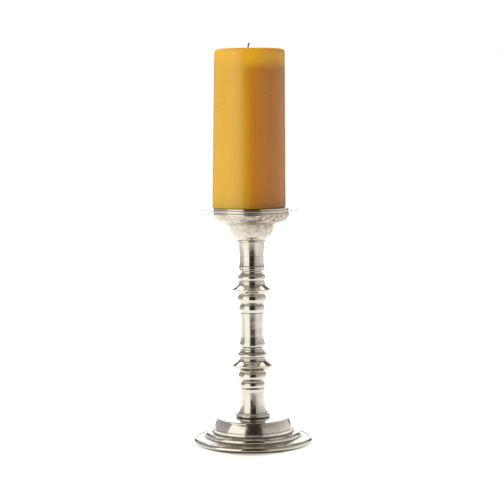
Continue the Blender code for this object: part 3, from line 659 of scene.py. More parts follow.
def plain_object(name, mesh, finish):
    """Links a mesh as a piece, with its doubles merged and its faces turned outwards."""
    mesh.name = name
    shape = bmesh.new()
    shape.from_mesh(mesh)
    bmesh.ops.remove_doubles(shape, verts=shape.verts, dist=WELD * MM)
    bmesh.ops.dissolve_degenerate(shape, edges=shape.edges, dist=WELD * MM / 10)
    bmesh.ops.recalc_face_normals(shape, faces=shape.faces)
    shape.to_mesh(mesh)
    shape.free()
    mesh.shade_smooth()
    mesh.set_sharp_from_angle(angle=math.radians(SHARP_ANGLE))
    mesh.materials.clear()
    mesh.materials.append(finish)
    return linked(name, mesh)


def tumbled(name, shape, edges, millimetres, finish):
    """Bevels edges of a bmesh, as tumbling does, and links it as a piece."""
    bmesh.ops.bevel(shape, geom=edges, offset=millimetres * MM, segments=2, affect="EDGES", profile=0.5)
    mesh = bpy.data.meshes.new(name)
    shape.to_mesh(mesh)
    shape.free()
    return plain_object(name, mesh, finish)


def boolean_of(name, base, cutters, finish):
    """Applies Booleans to a piece and returns the result as a plain mesh piece."""
    for cutter, operation in cutters.items():
        modifier = base.modifiers.new(cutter.name, "BOOLEAN")
        modifier.object = cutter
        modifier.operation = operation
    mesh = evaluated(base)
    for spent in (*cutters, base):
        bpy.data.objects.remove(spent)
    return plain_object(name, mesh, finish)


def turned(name, outline, steps, finish, height, lines=(), offset=0.0, patina_and_shade_share=1.0):
    """Spins an outline into a piece that stands at a height, in metres."""
    sizes = bpy.context.scene.candlestick_turning
    points, hollow = turned_profile(outline, sizes, lines, patina_and_shade_share)
    mesh = bpy.data.meshes.new(name)
    ring = [(index, (index + 1) % len(points)) for index in range(len(points))]
    mesh.from_pydata([(radius, 0.0, z) for radius, z in points], ring, [])
    mesh.attributes.new("groove", "FLOAT", "POINT").data.foreach_set("value", hollow)
    made = from_tree(name, mesh, tree_of(lathe), {"Steps": steps}, finish)
    made.data.transform(Matrix.Translation((offset * MM, 0.0, height)))
    return made


def stands_for(piece, node, body):
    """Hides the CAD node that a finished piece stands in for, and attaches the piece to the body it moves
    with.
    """
    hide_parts(node)
    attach(piece, body)


def cast(node, outline, tenon, steps="stack_steps", lines=(), patina_and_shade_share=1.0):
    """Turns a pewter casting that stands on its seat in place of its node."""
    pewter = made_of(turned_pewter)
    steps = getattr(bpy.context.scene.candlestick_turning, steps)
    made = turned(node + "_turned", outline, steps, pewter, seat_of(node, tenon), lines, patina_and_shade_share=patina_and_shade_share)
    stands_for(made, node, "stand")


def turned_pewter(tree, finishes):
    """Cast pewter, turned and hand polished: warm grey, mirror-like but slightly wavy, with fine tool rings,
    duller clouds where the polish thins, dark oxidised lines in the grooves with painted shade in the wider
    recesses, and stain clouds with painted shade on the cup's flare and right side."""
    place, x, y, z = placed(tree)
    section = combined(tree, length_of(tree, combined(tree, x, y)), 0.0, z)
    # Tool rings are 0.1 mm apart on the real stick and are drawn 0.7 mm apart so that they show
    rings = noise(tree, section, scale=1400.0, detail=2.0)
    # Polishing leaves waves about 9 mm across
    waves = noise(tree, place, scale=110.0, detail=1.5, roughness=0.4)
    # Duller clouds are about 6 mm across
    clouds = noise(tree, place, scale=160.0, detail=4.0, roughness=0.6)
    rough = ranged(tree, clouds, 0.42, 0.72, to_low=0.09, to_high=0.2)
    # Painted shade, with stain clouds: the cup is painted darker up its bowl, most of all on the flare under
    # its lip, and a little on the lip and the plate above. The steps are 40 mm in all.
    foot = seat_of("cup", TENON_LENGTH)
    steps = add(tree, "ShaderNodeValToRGB", {"Fac": ranged(tree, z, foot - 5.7 * MM, foot + 34.3 * MM)})
    ramp = steps.color_ramp.elements
    ramp[0].position, ramp[0].color = 0.15, (0.12, 0.12, 0.12, 1.0)
    ramp[1].position, ramp[1].color = 0.93, (0.0, 0.0, 0.0, 1.0)
    for position, share in (0.4, 0.7), (0.58, 0.75), (0.64, 1.0), (0.8, 1.0), (0.825, 0.4), (0.89, 0.4):
        ramp.new(position).color = (share, share, share, 1.0)
    high = steps.outputs[0]
    # Stains are up to 4 mm across. The right side is painted darker still, as painted shade.
    stains = ranged(tree, noise(tree, place, scale=230.0, detail=6.0, roughness=0.66), 0.3, 0.66)
    painted_side_shade = ranged(tree, x, -14.0 * MM, 6.0 * MM, to_low=0.55, to_high=1.2)
    stain_and_shade = product(tree, stains, high, painted_side_shade)
    # Oxide in the grooves, and painted shade in the wider recesses
    groove = add(tree, "ShaderNodeAttribute", attribute_name="groove").outputs["Fac"]
    patina_and_shade_mask = maths(tree, "MULTIPLY", groove, 0.75, clamp=True)
    colour = blend(tree, patina_and_shade_mask, blend(tree, stain_and_shade, finishes.pewter, finishes.stain_and_shade), finishes.patina_and_shade)
    for cause, share in (patina_and_shade_mask, 0.25), (stain_and_shade, 0.2), (high, 0.14):
        rough = maths(tree, "MULTIPLY_ADD", cause, share, rough)
    wavy = bumped(tree, waves, 0.22, 0.35)
    return principled(tree, colour, rough, Metallic=1.0, Normal=bumped(tree, rings, 0.22, 0.02, Normal=wavy))


def plated_steel(tree, finishes):
    """Zinc-plated mild steel: cooler and duller than the pewter, with a faint cloudy passivation."""
    # Passivation clouds are 2 to 4 mm across
    clouds = noise(tree, placed(tree)[0], scale=400.0, detail=3.0)
    colour = blend(tree, clouds, finishes.steel, finishes.passivation)
    return principled(tree, colour, ranged(tree, clouds, 0.0, 1.0, to_low=0.26, to_high=0.42), Metallic=1.0)


def moulded_beeswax(tree, finishes):
    """Beeswax poured in a mould: amber and translucent, with a yellow glow painted near the top as if light
    soaked in at the rim, painted paler on its lit left side, with a soft sheen, faint handling scuffs and a
    few dark specks of pollen."""
    glow = bpy.context.scene.candlestick_candle.glow
    place, x, _, z = placed(tree)
    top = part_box("candle")[1].z
    # Painted glow: the top 15 mm or so is painted yellower as if light from the open top soaked down, in
    # lobes about 28 mm wide
    lobes = noise(tree, place, scale=36.0, detail=2.0)
    depth = maths(tree, "MULTIPLY_ADD", lobes, 12.0 * MM, z)
    lit = ranged(tree, depth, top - glow * 1.2, top - glow * 0.3, curve="SMOOTHSTEP")
    # Slow changes of tone run down the candle, 15 mm wide and 100 mm long
    tone = noise(tree, mapped(tree, place, Scale=(1.0, 1.0, 0.15)), scale=60.0, detail=3.0)
    # Painted light: the candle's left side, which the lamp on the left lights, is painted paler and yellower
    # than its right
    painted_shade = ranged(tree, x, -14.0 * MM, 6.0 * MM, curve="SMOOTHSTEP")
    tone_and_side_shade = maths(tree, "ADD", maths(tree, "MULTIPLY_ADD", tone, 0.3, -0.15), painted_shade, clamp=True)
    body = blend(tree, tone_and_side_shade, finishes.pale_wax, finishes.wax)
    rim = blend(tree, tone_and_side_shade, finishes.lit_side_glow, finishes.glow)
    # Specks under 1 mm, about one to a thumb's width
    spread = mapped(tree, place, Location=(0.0, 0.0, -54.0 * MM), Rotation=(0.0, 0.0, math.radians(-15.0)))
    apart = shader(tree, "TexVoronoi", {"Vector": spread, "Scale": 62.0, "Randomness": 1.0})
    speck = ranged(tree, apart, 0.02, 0.045, to_low=1.0, to_high=0.0)
    colour = blend(tree, speck, blend(tree, lit, body, rim), finishes.speck)
    # Scuffs run round the candle: stretched noise, 1 mm tall and 8 mm long
    scuffs = noise(tree, mapped(tree, place, Scale=(1.0, 1.0, 7.0)), scale=120.0, detail=5.0)
    rough = ranged(tree, scuffs, 0.0, 1.0, to_low=0.24, to_high=0.36)
    # Dents from handling are about 20 mm across
    dented = bumped(tree, noise(tree, place, scale=45.0, detail=2.0), 0.3, 0.6)
    more = {
        "Normal": bumped(tree, scuffs, 0.12, 0.2, Normal=dented),
        "IOR": 1.5,
        "Specular IOR Level": 0.6,
        "Subsurface Weight": 0.85,
        "Subsurface Radius": (1.0, 0.36, 0.07),
        "Subsurface Scale": 14.0 * MM,
    }
    return principled(tree, colour, rough, **more)


def charred_cotton(tree, finishes):
    """Braided cotton that has been lit once: matt black, and brown at the foot where wax has wetted it."""
    place, _, _, z = placed(tree)
    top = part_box("candle")[1].z
    waxed = ranged(tree, z, top, top + 1.6 * MM, to_low=1.0, to_high=0.0)
    # Fibres are 0.02 mm thick and are drawn 0.1 mm thick so that they show
    fibres = noise(tree, place, scale=9000.0, detail=2.0)
    colour = blend(tree, waxed, finishes.wick, finishes.wet_wick)
    return principled(tree, colour, 0.85, Normal=bumped(tree, fibres, 0.5, 0.1))


def foot_outline():
    """Foot: crown, shoulder, drum, fillet, ovolo, dished ledge and rolled rim, hollow below."""
    rim_top = FOOT_EDGE_HEIGHT + RIM_ROLL_HEIGHT
    ledge = rim_top - RIM_CREASE_DEPTH
    ledge_top = ledge + LEDGE_RISE
    ovolo_foot = ledge_top + OVOLO_QUIRK
    drum_foot = ovolo_foot + OVOLO_HEIGHT
    drum_crease = drum_foot + DRUM_COVE_HEIGHT + DRUM_FILLET_HEIGHT
    shoulder_foot = drum_crease + DRUM_WALL_HEIGHT
    crown_edge = shoulder_foot + SHOULDER_HEIGHT
    seat = crown_edge + CROWN_RISE
    fillet_radius = DRUM_FOOT_RADIUS - DRUM_COVE_WIDTH
    crease = fillet_radius - DRUM_FILLET_LEAN - DRUM_CREASE_DEPTH
    drum_top_radius = crease - DRUM_WALL_LEAN
    rim_crease = FOOT_RADIUS - RIM_ROLL_WIDTH
    outline = Outline(STACK_BORE_RADIUS, seat).line((CROWN_SEAT_RADIUS, seat))
    outline.arc(drum_top_radius - SHOULDER_WIDTH, crown_edge, -CROWN_SWELL)
    outline.quadrant(drum_top_radius, shoulder_foot, level_first=True)
    outline.arc(crease, drum_crease, -DRUM_WALL_SWELL)
    outline.line((crease + DRUM_CREASE_DEPTH, drum_crease), (fillet_radius, drum_foot + DRUM_COVE_HEIGHT))
    outline.quadrant(DRUM_FOOT_RADIUS, drum_foot, level_first=False)
    outline.line((OVOLO_BASE_RADIUS - OVOLO_WIDTH, drum_foot))
    outline.quadrant(OVOLO_BASE_RADIUS, ovolo_foot, level_first=True)
    outline.line((OVOLO_BASE_RADIUS, ledge_top))
    outline.arc(rim_crease, ledge, LEDGE_DISH)
    outline.line((rim_crease, rim_top))
    outline.quadrant(FOOT_RADIUS, FOOT_EDGE_HEIGHT, level_first=True)
    outline.line(
        (FOOT_RADIUS, FOOT_EDGE_CHAMFER), (FOOT_RADIUS - FOOT_EDGE_CHAMFER, 0.0),
        (FOOT_RADIUS - FOOT_RING_WIDTH, 0.0), (rim_crease - RIM_CREASE_DEPTH, ledge - FOOT_WALL),
        (OVOLO_BASE_RADIUS - FOOT_WALL, ledge_top - FOOT_WALL),
    )
    outline.quadrant(fillet_radius - FOOT_WALL, drum_foot - FOOT_WALL, level_first=False)
    return outline.line(
        (crease - FOOT_WALL, drum_crease), (drum_top_radius - FOOT_WALL, shoulder_foot - FOOT_WALL / 2),
        (drum_top_radius - FOOT_WALL - SHOULDER_WIDTH, crown_edge - FOOT_WALL),
        (FOOT_HUB_RADIUS, seat - FOOT_WALL), (STACK_BORE_RADIUS, seat - FOOT_WALL),
    )


def lower_stem_outline():
    """Lower stem: a mouth, a neck, a long flare, a fillet and a rolled ring."""
    length, mouth, neck, neck_drop = 30.1, 13.0, 12.6, 3.5
    flare, flare_height, flare_swell = 13.5, 8.0, 0.1
    flare_foot, foot_swell = 15.3, 0.27
    fillet, fillet_height = 16.8, 0.9
    ring, ring_height, ring_swell = 18.1, 3.2, 1.7
    fillet_top = ring_height + fillet_height
    outline = Outline(mouth, length)
    outline.quadrant(neck, length - neck_drop, level_first=True)
    outline.arc(flare, fillet_top + flare_height, flare_swell)
    outline.arc(flare_foot, fillet_top, foot_swell)
    outline.line((fillet, fillet_top), (fillet, ring_height), (ring - ring_swell, ring_height))
    outline.arc(ring - ring_swell, 0.0, -ring_swell)
    return outline.stack_bore(length, FOOT_WALL)


def middle_stem_outline():
    """Middle stem: nearly straight, with a cove down to its ring and a lip under it."""
    length, mouth, waist, taper, taper_swell = 36.4, 12.6, 12.1, 17.0, 0.06
    ring, ring_height, cove, cove_swell = 13.8, 2.0, 8.0, 0.4
    lip, lip_height, lip_foot = 12.6, 1.7, 0.5
    ring_top = lip_height + ring_height
    outline = Outline(mouth, length)
    outline.arc(waist, length - taper, taper_swell)
    outline.line((waist, ring_top + cove))
    outline.arc(ring, ring_top, cove_swell)
    outline.line((ring, lip_height), (lip, lip_foot), (LOWER_KNOP["groove"][0], 0.0))
    return outline.stack_bore(length)


def upper_stem_outline():
    """Upper stem: a collar under the cup, a cone, a plain neck, a ring and a lip."""
    length, collar, collar_height = 32.8, 14.7, 1.6
    cone, cone_height, cone_swell, neck = 14.2, 15.0, 0.15, 12.6
    ring, ring_height, cove = 13.8, 2.2, 6.0
    lip, lip_height, lip_foot = 12.9, 2.6, 0.5
    collar_foot = length - collar_height
    ring_top = lip_height + ring_height
    outline = Outline(collar, length).line((collar, collar_foot), (cone, collar_foot))
    outline.arc(neck, collar_foot - cone_height, cone_swell)
    outline.line((neck, ring_top + cove))
    outline.quadrant(ring, ring_top, level_first=False)
    outline.line((ring, lip_height), (lip, lip_height), (lip, lip_foot), (UPPER_KNOP["groove"][0], 0.0))
    return outline.stack_bore(length)


def knop_outline(size):
    """Knop: bead, neck, full torus, sharp flange, hollow band, thin torus, shoulder and groove."""
    bead, bead_swell, bead_top = size["bead"]
    neck, neck_height = size["neck"]
    low, low_swell, low_height = size["low_torus"]
    root, under_swell, under_height = size["under"]
    flange, flange_edge = size["flange"]
    band_low, band_high, band_hollow, band_height = size["band"]
    high, high_swell, high_height = size["high_torus"]
    shoulder_low, shoulder_high, shoulder_hollow, shoulder_height = size["shoulder"]
    groove, groove_height = size["groove"]
    neck_top = bead_top + neck_height
    low_top = neck_top + low_height
    flange_foot = low_top + under_height
    flange_top = flange_foot + flange_edge
    band_foot = flange_top + size["cone"]
    band_top = band_foot + band_height
    shoulder_foot = band_top + high_height
    shoulder_top = shoulder_foot + shoulder_height
    length = shoulder_top + groove_height
    outline = Outline(groove, length).line((groove, shoulder_top), (shoulder_high, shoulder_top))
    outline.arc(shoulder_low, shoulder_foot, shoulder_hollow)
    outline.line((high - high_swell, shoulder_foot))
    outline.arc(high - high_swell, band_top, -high_swell)
    outline.line((band_high, band_top))
    outline.arc(band_low, band_foot, band_hollow)
    outline.line((flange, flange_top), (flange, flange_foot))
    outline.arc(root, low_top, -under_swell)
    outline.line((low - low_swell, low_top))
    outline.arc(low - low_swell, neck_top, -low_swell)
    outline.line((neck, neck_top), (neck, bead_top), (bead - bead_swell, bead_top))
    outline.arc(bead - bead_swell, 0.0, -bead_swell)
    return outline.stack_bore(length)


def cup_outline():
    """Cup: a swelling bowl, a quirk and a flared lip, with a boss for the pricket's shank inside."""
    height, wall, floor = 28.5, 3.2, 3.0
    foot, foot_edge, foot_swell = 15.7, 0.5, 1.0
    belly, belly_height = 21.2, 5.5
    bowl, bowl_height, bowl_swell = 25.9, 16.7, 0.4
    quirk, quirk_slope, quirk_height = 28.2, 0.8, 0.4
    flare, flare_step, flare_hollow = 31.8, 0.9, 1.8
    lip, lip_round, lip_height, mouth = 40.1, 0.6, 1.4, 36.9
    boss = 9.0
    quirk_foot = bowl_height + quirk_slope
    flare_foot = quirk_foot + quirk_height
    lip_foot = height - lip_height
    outline = Outline(lip - lip_round, height)
    outline.quadrant(lip, height - lip_round, level_first=True)
    outline.line((lip, lip_foot))
    outline.arc(flare, flare_foot + flare_step, -flare_hollow)
    outline.line((quirk, flare_foot), (quirk, quirk_foot), (bowl, bowl_height))
    outline.arc(belly, belly_height, -bowl_swell)
    outline.arc(foot, foot_edge, -foot_swell)
    outline.line(
        (foot, 0.0), (TENON_RADIUS, 0.0), (TENON_RADIUS, -TENON_LENGTH),
        (TENON_BORE_RADIUS, -TENON_LENGTH), (TENON_BORE_RADIUS, height), (boss, height), (boss, floor),
        (foot - wall / 2, floor),
    )
    outline.arc(belly - wall, belly_height + wall / 2, foot_swell)
    outline.arc(bowl - wall, bowl_height, bowl_swell)
    outline.line((quirk, flare_foot + wall))
    outline.arc(mouth, lip_foot - wall / 2, flare_hollow)
    return outline.line((mouth, height))


def plate_outline():
    """Drip plate: a raised seat for the candle, a thin brim, a skirt, a spigot and the pricket's boss."""
    seat, seat_top, seat_round, seat_edge = 39.8, 4.7, 0.3, 0.2
    brim, brim_top, brim_chamfer = 49.4, 3.1, 0.3
    skirt, skirt_height = 39.3, 2.0
    spigot, wall = 36.6, 2.0
    boss, recess = 11.0, 7.3
    ceiling = seat_top - wall
    outline = Outline(seat - seat_round - seat_edge, seat_top)
    outline.quadrant(seat - seat_edge, seat_top - seat_round, level_first=True)
    outline.quadrant(seat, brim_top, level_first=False)
    return outline.line(
        (brim - brim_chamfer, brim_top), (brim, brim_top - brim_chamfer),
        (brim, skirt_height + brim_chamfer), (brim - brim_chamfer, skirt_height), (skirt, skirt_height),
        (skirt, 0.0), (spigot, 0.0), (spigot, -PLATE_SPIGOT_LENGTH), (spigot - wall, -PLATE_SPIGOT_LENGTH),
        (spigot - wall, ceiling), (boss, ceiling), (boss, 0.0), (TENON_BORE_RADIUS, 0.0),
        (TENON_BORE_RADIUS, ceiling), (recess, ceiling), (recess, seat_top),
    )


def pricket_outline():
    """Pricket: a spike on a collar, over a shank that is tapped for the rod."""
    tip, tip_radius, spike, spike_foot = 22.0, 0.3, 2.6, 6.6
    collar, collar_height = 7.0, 1.4
    shank, tapped = 4.7, 4.5
    return Outline(0.0, tip).line(
        (tip_radius, tip), (spike, spike_foot), (spike, collar_height), (collar, collar_height),
        (collar, 0.0), (shank, 0.0), (shank, -PRICKET_SHANK_LENGTH),
        (FITTING_BORE_RADIUS, -PRICKET_SHANK_LENGTH), (FITTING_BORE_RADIUS, -tapped), (0.0, -tapped),
    )


def candle_outline(height):
    """Candle: a drafted pillar with a rounded top edge and a low mound round its wick."""
    outline = Outline(0.0, height + CANDLE_MOUND_HEIGHT)
    outline.arc(CANDLE_MOUND_RADIUS, height, -CANDLE_MOUND_SWELL)
    outline.line((CANDLE_TOP_RADIUS - CANDLE_TOP_ROUND, height))
    outline.quadrant(CANDLE_TOP_RADIUS, height - CANDLE_TOP_ROUND, level_first=True)
    foot_flat = CANDLE_FOOT_RADIUS - CANDLE_FOOT_CHAMFER
    return outline.line((CANDLE_FOOT_RADIUS, CANDLE_FOOT_CHAMFER), (foot_flat, 0.0), (0.0, 0.0))


def spike_hole_outline():
    """The hole that the pricket leaves in the candle's foot."""
    top, radius, straight, past = 24.5, 3.2, 5.5, 1.0
    return Outline(0.0, top).line((WICK_HOLE_RADIUS, top), (radius, straight), (radius, -past), (0.0, -past))


def wick_hole_outline(height):
    """The wick's hole, from over the spike's to past the candle's top."""
    foot, past = 20.0, 3.0
    top = height + past
    return Outline(0.0, top).line((WICK_HOLE_RADIUS, top), (WICK_HOLE_RADIUS, foot), (0.0, foot))


class CANDLESTICK_OT_foot(bpy.types.Operator):
    """Turn the foot"""

    bl_idname = "candlestick.foot"
    bl_label = "Foot"

    def execute(self, context):
        line = (OVOLO_BASE_RADIUS - OVOLO_WIDTH * OVOLO_LINE_SHARE, OVOLO_LINE_HEIGHT, OVOLO_LINE_WIDTH)
        cast("foot", foot_outline(), 0.0, "wide_steps", [line])
        return {"FINISHED"}


class CANDLESTICK_OT_stems(bpy.types.Operator):
    """Turn the three stems"""

    bl_idname = "candlestick.stems"
    bl_label = "Stems"

    def execute(self, context):
        cast("lower_stem", lower_stem_outline(), FOOT_WALL, lines=[LOWER_STEM_LINE])
        cast("middle_stem", middle_stem_outline(), TENON_LENGTH, lines=[MIDDLE_STEM_LINE])
        cast("upper_stem", upper_stem_outline(), TENON_LENGTH, lines=[UPPER_STEM_LINE])
        return {"FINISHED"}


class CANDLESTICK_OT_knops(bpy.types.Operator):
    """Turn the two knops"""

    bl_idname = "candlestick.knops"
    bl_label = "Knops"

    def execute(self, context):
        cast("lower_knop", knop_outline(LOWER_KNOP), TENON_LENGTH)
        cast("upper_knop", knop_outline(UPPER_KNOP), TENON_LENGTH)
        return {"FINISHED"}


class CANDLESTICK_OT_cup(bpy.types.Operator):
    """Turn the cup"""

    bl_idname = "candlestick.cup"
    bl_label = "Cup"

    def execute(self, context):
        cast("cup", cup_outline(), TENON_LENGTH, patina_and_shade_share=0.25)
        return {"FINISHED"}


class CANDLESTICK_OT_plate(bpy.types.Operator):
    """Turn the drip plate"""

    bl_idname = "candlestick.plate"
    bl_label = "Drip plate"

    def execute(self, context):
        cast("drip_plate", plate_outline(), PLATE_SPIGOT_LENGTH, "wide_steps", patina_and_shade_share=0.1)
        return {"FINISHED"}


class CANDLESTICK_OT_pricket(bpy.types.Operator):
    """Turn the pricket"""

    bl_idname = "candlestick.pricket"
    bl_label = "Pricket"

    def execute(self, context):
        steps = context.scene.candlestick_turning.small_steps
        height = seat_of("pricket", PRICKET_SHANK_LENGTH)
        pricket = turned("pricket_turned", pricket_outline(), steps, made_of(plated_steel), height)
        stands_for(pricket, "pricket", "stand")
        return {"FINISHED"}


class CANDLESTICK_OT_tie_rod(bpy.types.Operator):
    """Make the tie rod, threaded at both ends"""

    bl_idname = "candlestick.tie_rod"
    bl_label = "Tie rod"

    def execute(self, context):
        low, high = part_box("tie_rod")
        length = high.z - low.z
        sizes = {
            "Radius": (high.x - low.x) / 2,
            "Pitch": THREAD_PITCH * MM,
            "Depth": THREAD_DEPTH * MM,
            "Length": length,
            "Threaded": THREAD_LENGTH * MM,
            "Steps": THREAD_FACETS,
            "Rows": round(length / (THREAD_ROW * MM)),
        }
        start = bpy.data.meshes.new("start")
        rod = from_tree("tie_rod_threaded", start, tree_of(threaded_rod), sizes, made_of(plated_steel))
        rod.data.transform(Matrix.Translation((0.0, 0.0, (low.z + high.z) / 2)))
        stands_for(rod, "tie_rod", "stand")
        return {"FINISHED"}


def spreader_washer(steps, steel):
    """The plate washer under the crown."""
    bore, radius, thick = FITTING_BORE_RADIUS, SPREADER_RADIUS, SPREADER_THICKNESS
    outline = Outline(bore, thick).line((radius, thick), (radius, 0.0), (bore, 0.0))
    return turned("spreader_washer_turned", outline, steps, steel, seat_of("spreader_washer"))


def lock_washer(steps, steel):
    """The split washer, swept nearly once round."""
    low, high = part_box("lock_washer")
    bore, radius = FITTING_BORE_RADIUS * MM, LOCK_WASHER_RADIUS * MM
    section = [(bore, high.z), (radius, high.z), (radius, low.z), (bore, low.z)]
    shape = bmesh.new()
    end = shape.faces.new([shape.verts.new((across, 0.0, height)) for across, height in section])
    turn = {"cent": (0.0, 0.0, 0.0), "axis": (0.0, 0.0, 1.0), "angle": math.radians(LOCK_WASHER_TURN)}
    bmesh.ops.spin(shape, geom=[end], steps=steps, **turn)
    sharp = [edge for edge in shape.edges if len(edge.link_faces) == 2 and edge.calc_face_angle() > 1.0]
    return tumbled("lock_washer_coiled", shape, sharp, LOCK_WASHER_EDGE, steel)


def hex_nut(steps, steel):
    """The nut: a hexagon with chamfered corners and a bore."""
    low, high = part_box("hex_nut")
    height = (high.z - low.z) / MM
    flat, bore, chamfer = NUT_HALF_WIDTH, FITTING_BORE_RADIUS, NUT_CHAMFER
    corner = flat / math.cos(math.radians(30))
    wide = corner + chamfer
    radii = dict.fromkeys(("radius1", "radius2"), corner * MM)
    middle = Matrix.Translation((0.0, 0.0, height * MM / 2))
    shape = bmesh.new()
    bmesh.ops.create_cone(shape, cap_ends=True, segments=6, depth=height * MM, matrix=middle, **radii)
    hexagon = tumbled("hexagon", shape, list(shape.edges), NUT_EDGE, steel)
    blank = Outline(0.0, height)
    blank.line((flat, height), (wide, height - chamfer), (wide, chamfer), (flat, 0.0), (0.0, 0.0))
    hole = Outline(0.0, 2 * height).line((bore, 2 * height), (bore, -height), (0.0, -height))
    cutters = {
        turned("blank", blank, steps, steel, 0.0): "INTERSECT",
        turned("hole", hole, steps, steel, 0.0): "DIFFERENCE",
    }
    nut = boolean_of("hex_nut_chamfered", hexagon, cutters, steel)
    nut.data.transform(Matrix.Translation((0.0, 0.0, low.z)))
    return nut


class CANDLESTICK_OT_fasteners(bpy.types.Operator):
    """Make the washers and the nut under the foot"""

    bl_idname = "candlestick.fasteners"
    bl_label = "Fasteners"

    def execute(self, context):
        steps = context.scene.candlestick_turning.small_steps
        for make in (spreader_washer, lock_washer, hex_nut):
            stands_for(make(steps, made_of(plated_steel)), make.__name__, "stand")
        return {"FINISHED"}


class CANDLESTICK_OT_candle(bpy.types.Operator):
    """Mould the candle"""

    bl_idname = "candlestick.candle"
    bl_label = "Candle"

    def execute(self, context):
        turning = context.scene.candlestick_turning
        height = context.scene.candlestick_candle.height / MM
        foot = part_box("candle")[0].z
        wax = made_of(moulded_beeswax)
        body = turned("body", candle_outline(height), turning.wide_steps, wax, 0.0)
        body.data.transform(Matrix.Shear("XY", 4, (CANDLE_LEAN / height, 0.0)))
        body.data.transform(Matrix.Translation((CANDLE_OFF_CENTRE * MM, 0.0, foot)))
        spike = turned("spike", spike_hole_outline(), turning.small_steps, wax, foot)
        steps = turning.small_steps // 2
        bore = turned("bore", wick_hole_outline(height), steps, wax, foot, offset=WICK_OFF_CENTRE)
        candle = boolean_of("candle_moulded", body, dict.fromkeys((spike, bore), "DIFFERENCE"), wax)
        stands_for(candle, "candle", "candle")
        return {"FINISHED"}


class CANDLESTICK_OT_wick(bpy.types.Operator):
    """Braid the wick"""

    bl_idname = "candlestick.wick"
    bl_label = "Wick"

    def execute(self, context):
        candle = context.scene.candlestick_candle
        low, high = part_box("wick")
        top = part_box("candle")[1].z
        free = high.z - WICK_END * MM - top
        shares = [step / WICK_BENDS for step in range(1, WICK_BENDS + 1)]
        bent = [(WICK_LEAN * share**2, top + free * share) for share in shares]
        way = [(0.0, low.z), (0.0, top), *bent]
        points = [((WICK_OFF_CENTRE + bend) * MM, 0.0, height) for bend, height in way]
        path = bpy.data.meshes.new("path")
        path.from_pydata(points, [(index, index + 1) for index in range(len(points) - 1)], [])
        sizes = {
            "Strands": candle.strands,
            "Yarn radius": YARN_RADIUS * MM,
            "Twist radius": YARN_TWIST * MM,
            "Lay": candle.lay,
            "Step": YARN_STEP * MM,
        }
        wick = from_tree("wick_braided", path, tree_of(braid), sizes, made_of(charred_cotton))
        stands_for(wick, "wick", "candle")
        return {"FINISHED"}


def seamless_paper(tree, finishes):
    """White paper: matt, with a painted shadow in front of the foot, where its colour is darkened by
    occlusion. The camera sees it as white, and in the metal it is a little greyer and ends softly towards
    the camera."""
    place, _, y, _ = placed(tree)
    mirrored = add(tree, "ShaderNodeLightPath").outputs["Is Glossy Ray"]
    open_sky = add(tree, "ShaderNodeAmbientOcclusion", {"Distance": SHADE_REACH}, samples=8)
    shade = maths(tree, "POWER", open_sky.outputs["AO"], SHADE_DEPTH)
    level = ranged(tree, mirrored, 0.0, 1.0, to_low=1.0, to_high=PAPER_IN_METAL)
    # Painted shadow: the lamps stand behind, so the paper's colour is darkened by the foot's occlusion only
    # in front of it
    painted_shade = shader(tree, "Mix", {0: ranged(tree, y, -0.01, -0.05), 2: 1.0, 3: shade})
    tone = blend(tree, product(tree, painted_shade, level), (0.0, 0.0, 0.0), finishes.floor)
    matt = shader(tree, "BsdfDiffuse", {"Color": tone})
    # Past the lamps' reach the paper shows its own white
    away = length_of(tree, mapped(tree, place, Scale=(1.6, 1.0, 1.0)))
    lift = product(tree, shown_white(tree), ranged(tree, away, 0.074, 0.105), level)
    both = shader(tree, "AddShader", {0: matt, 1: shader(tree, "Emission", {"Strength": lift})})
    near = ranged(tree, y, -PAPER_FADE, -PAPER_FRONT, curve="SMOOTHSTEP")
    bare = shader(tree, "BsdfTransparent")
    return shader(tree, "MixShader", {0: product(tree, near, mirrored), 1: both, 2: bare})


def shown_white(tree):
    """1 for rays from the camera, or by way of metal or glass, and 0 for those that light the object."""
    path = add(tree, "ShaderNodeLightPath").outputs
    seen = maths(tree, "MAXIMUM", path["Is Camera Ray"], path["Is Glossy Ray"])
    return maths(tree, "MAXIMUM", seen, path["Is Transmission Ray"])


def glowing_card(tree, _):
    """Card lit from behind: it gives off the colour kept in its mesh, so it can fade from foot to top."""
    glow = shader(tree, "Attribute", attribute_name="glow")
    return shader(tree, "Emission", {"Color": glow, "Strength": 1.0})


def reflected_only(name, points, faces, glows):
    """Stages a glowing mesh that only the metal's reflections show."""
    mesh = bpy.data.meshes.new(name)
    mesh.from_pydata(points, [], faces)
    mesh.attributes.new("glow", "FLOAT_COLOR", "POINT").data.foreach_set("color", glows)
    mesh.materials.append(made_of(glowing_card))
    panel = linked(name, mesh)
    for ray in ("camera", "diffuse", "shadow", "transmission"):
        setattr(panel, "visible_" + ray, False)


def card(name, azimuths, levels, distance=CARD_DISTANCE):
    """A curved studio card. Azimuth 0 is behind the camera, and levels are heights with their glows."""
    points = []
    glows = []
    for step in range(CARD_COLUMNS + 1):
        azimuth = math.radians(azimuths[0] + (azimuths[1] - azimuths[0]) * step / CARD_COLUMNS)
        for height, glow in levels:
            points.append((distance * math.sin(azimuth), -distance * math.cos(azimuth), height))
            glows += [*glow, 1.0]
    rows = len(levels)
    lows = [rows * step + row for step in range(CARD_COLUMNS) for row in range(rows - 1)]
    reflected_only(name, points, [(low, low + rows, low + rows + 1, low + 1) for low in lows], glows)


def lamp(name, colour, power, size, place):
    """A soft rectangular lamp that the metal doesn't mirror."""
    light = bpy.data.lights.new(name, "AREA")
    light.color = colour
    light.shape = "RECTANGLE"
    light.size, light.size_y = size
    light.energy = power
    made = linked(name, light)
    made.location = place
    made.rotation_mode = "QUATERNION"
    made.rotation_quaternion = (LAMP_AIM - Vector(place)).to_track_quat("-Z", "Y")
    made.visible_glossy = False


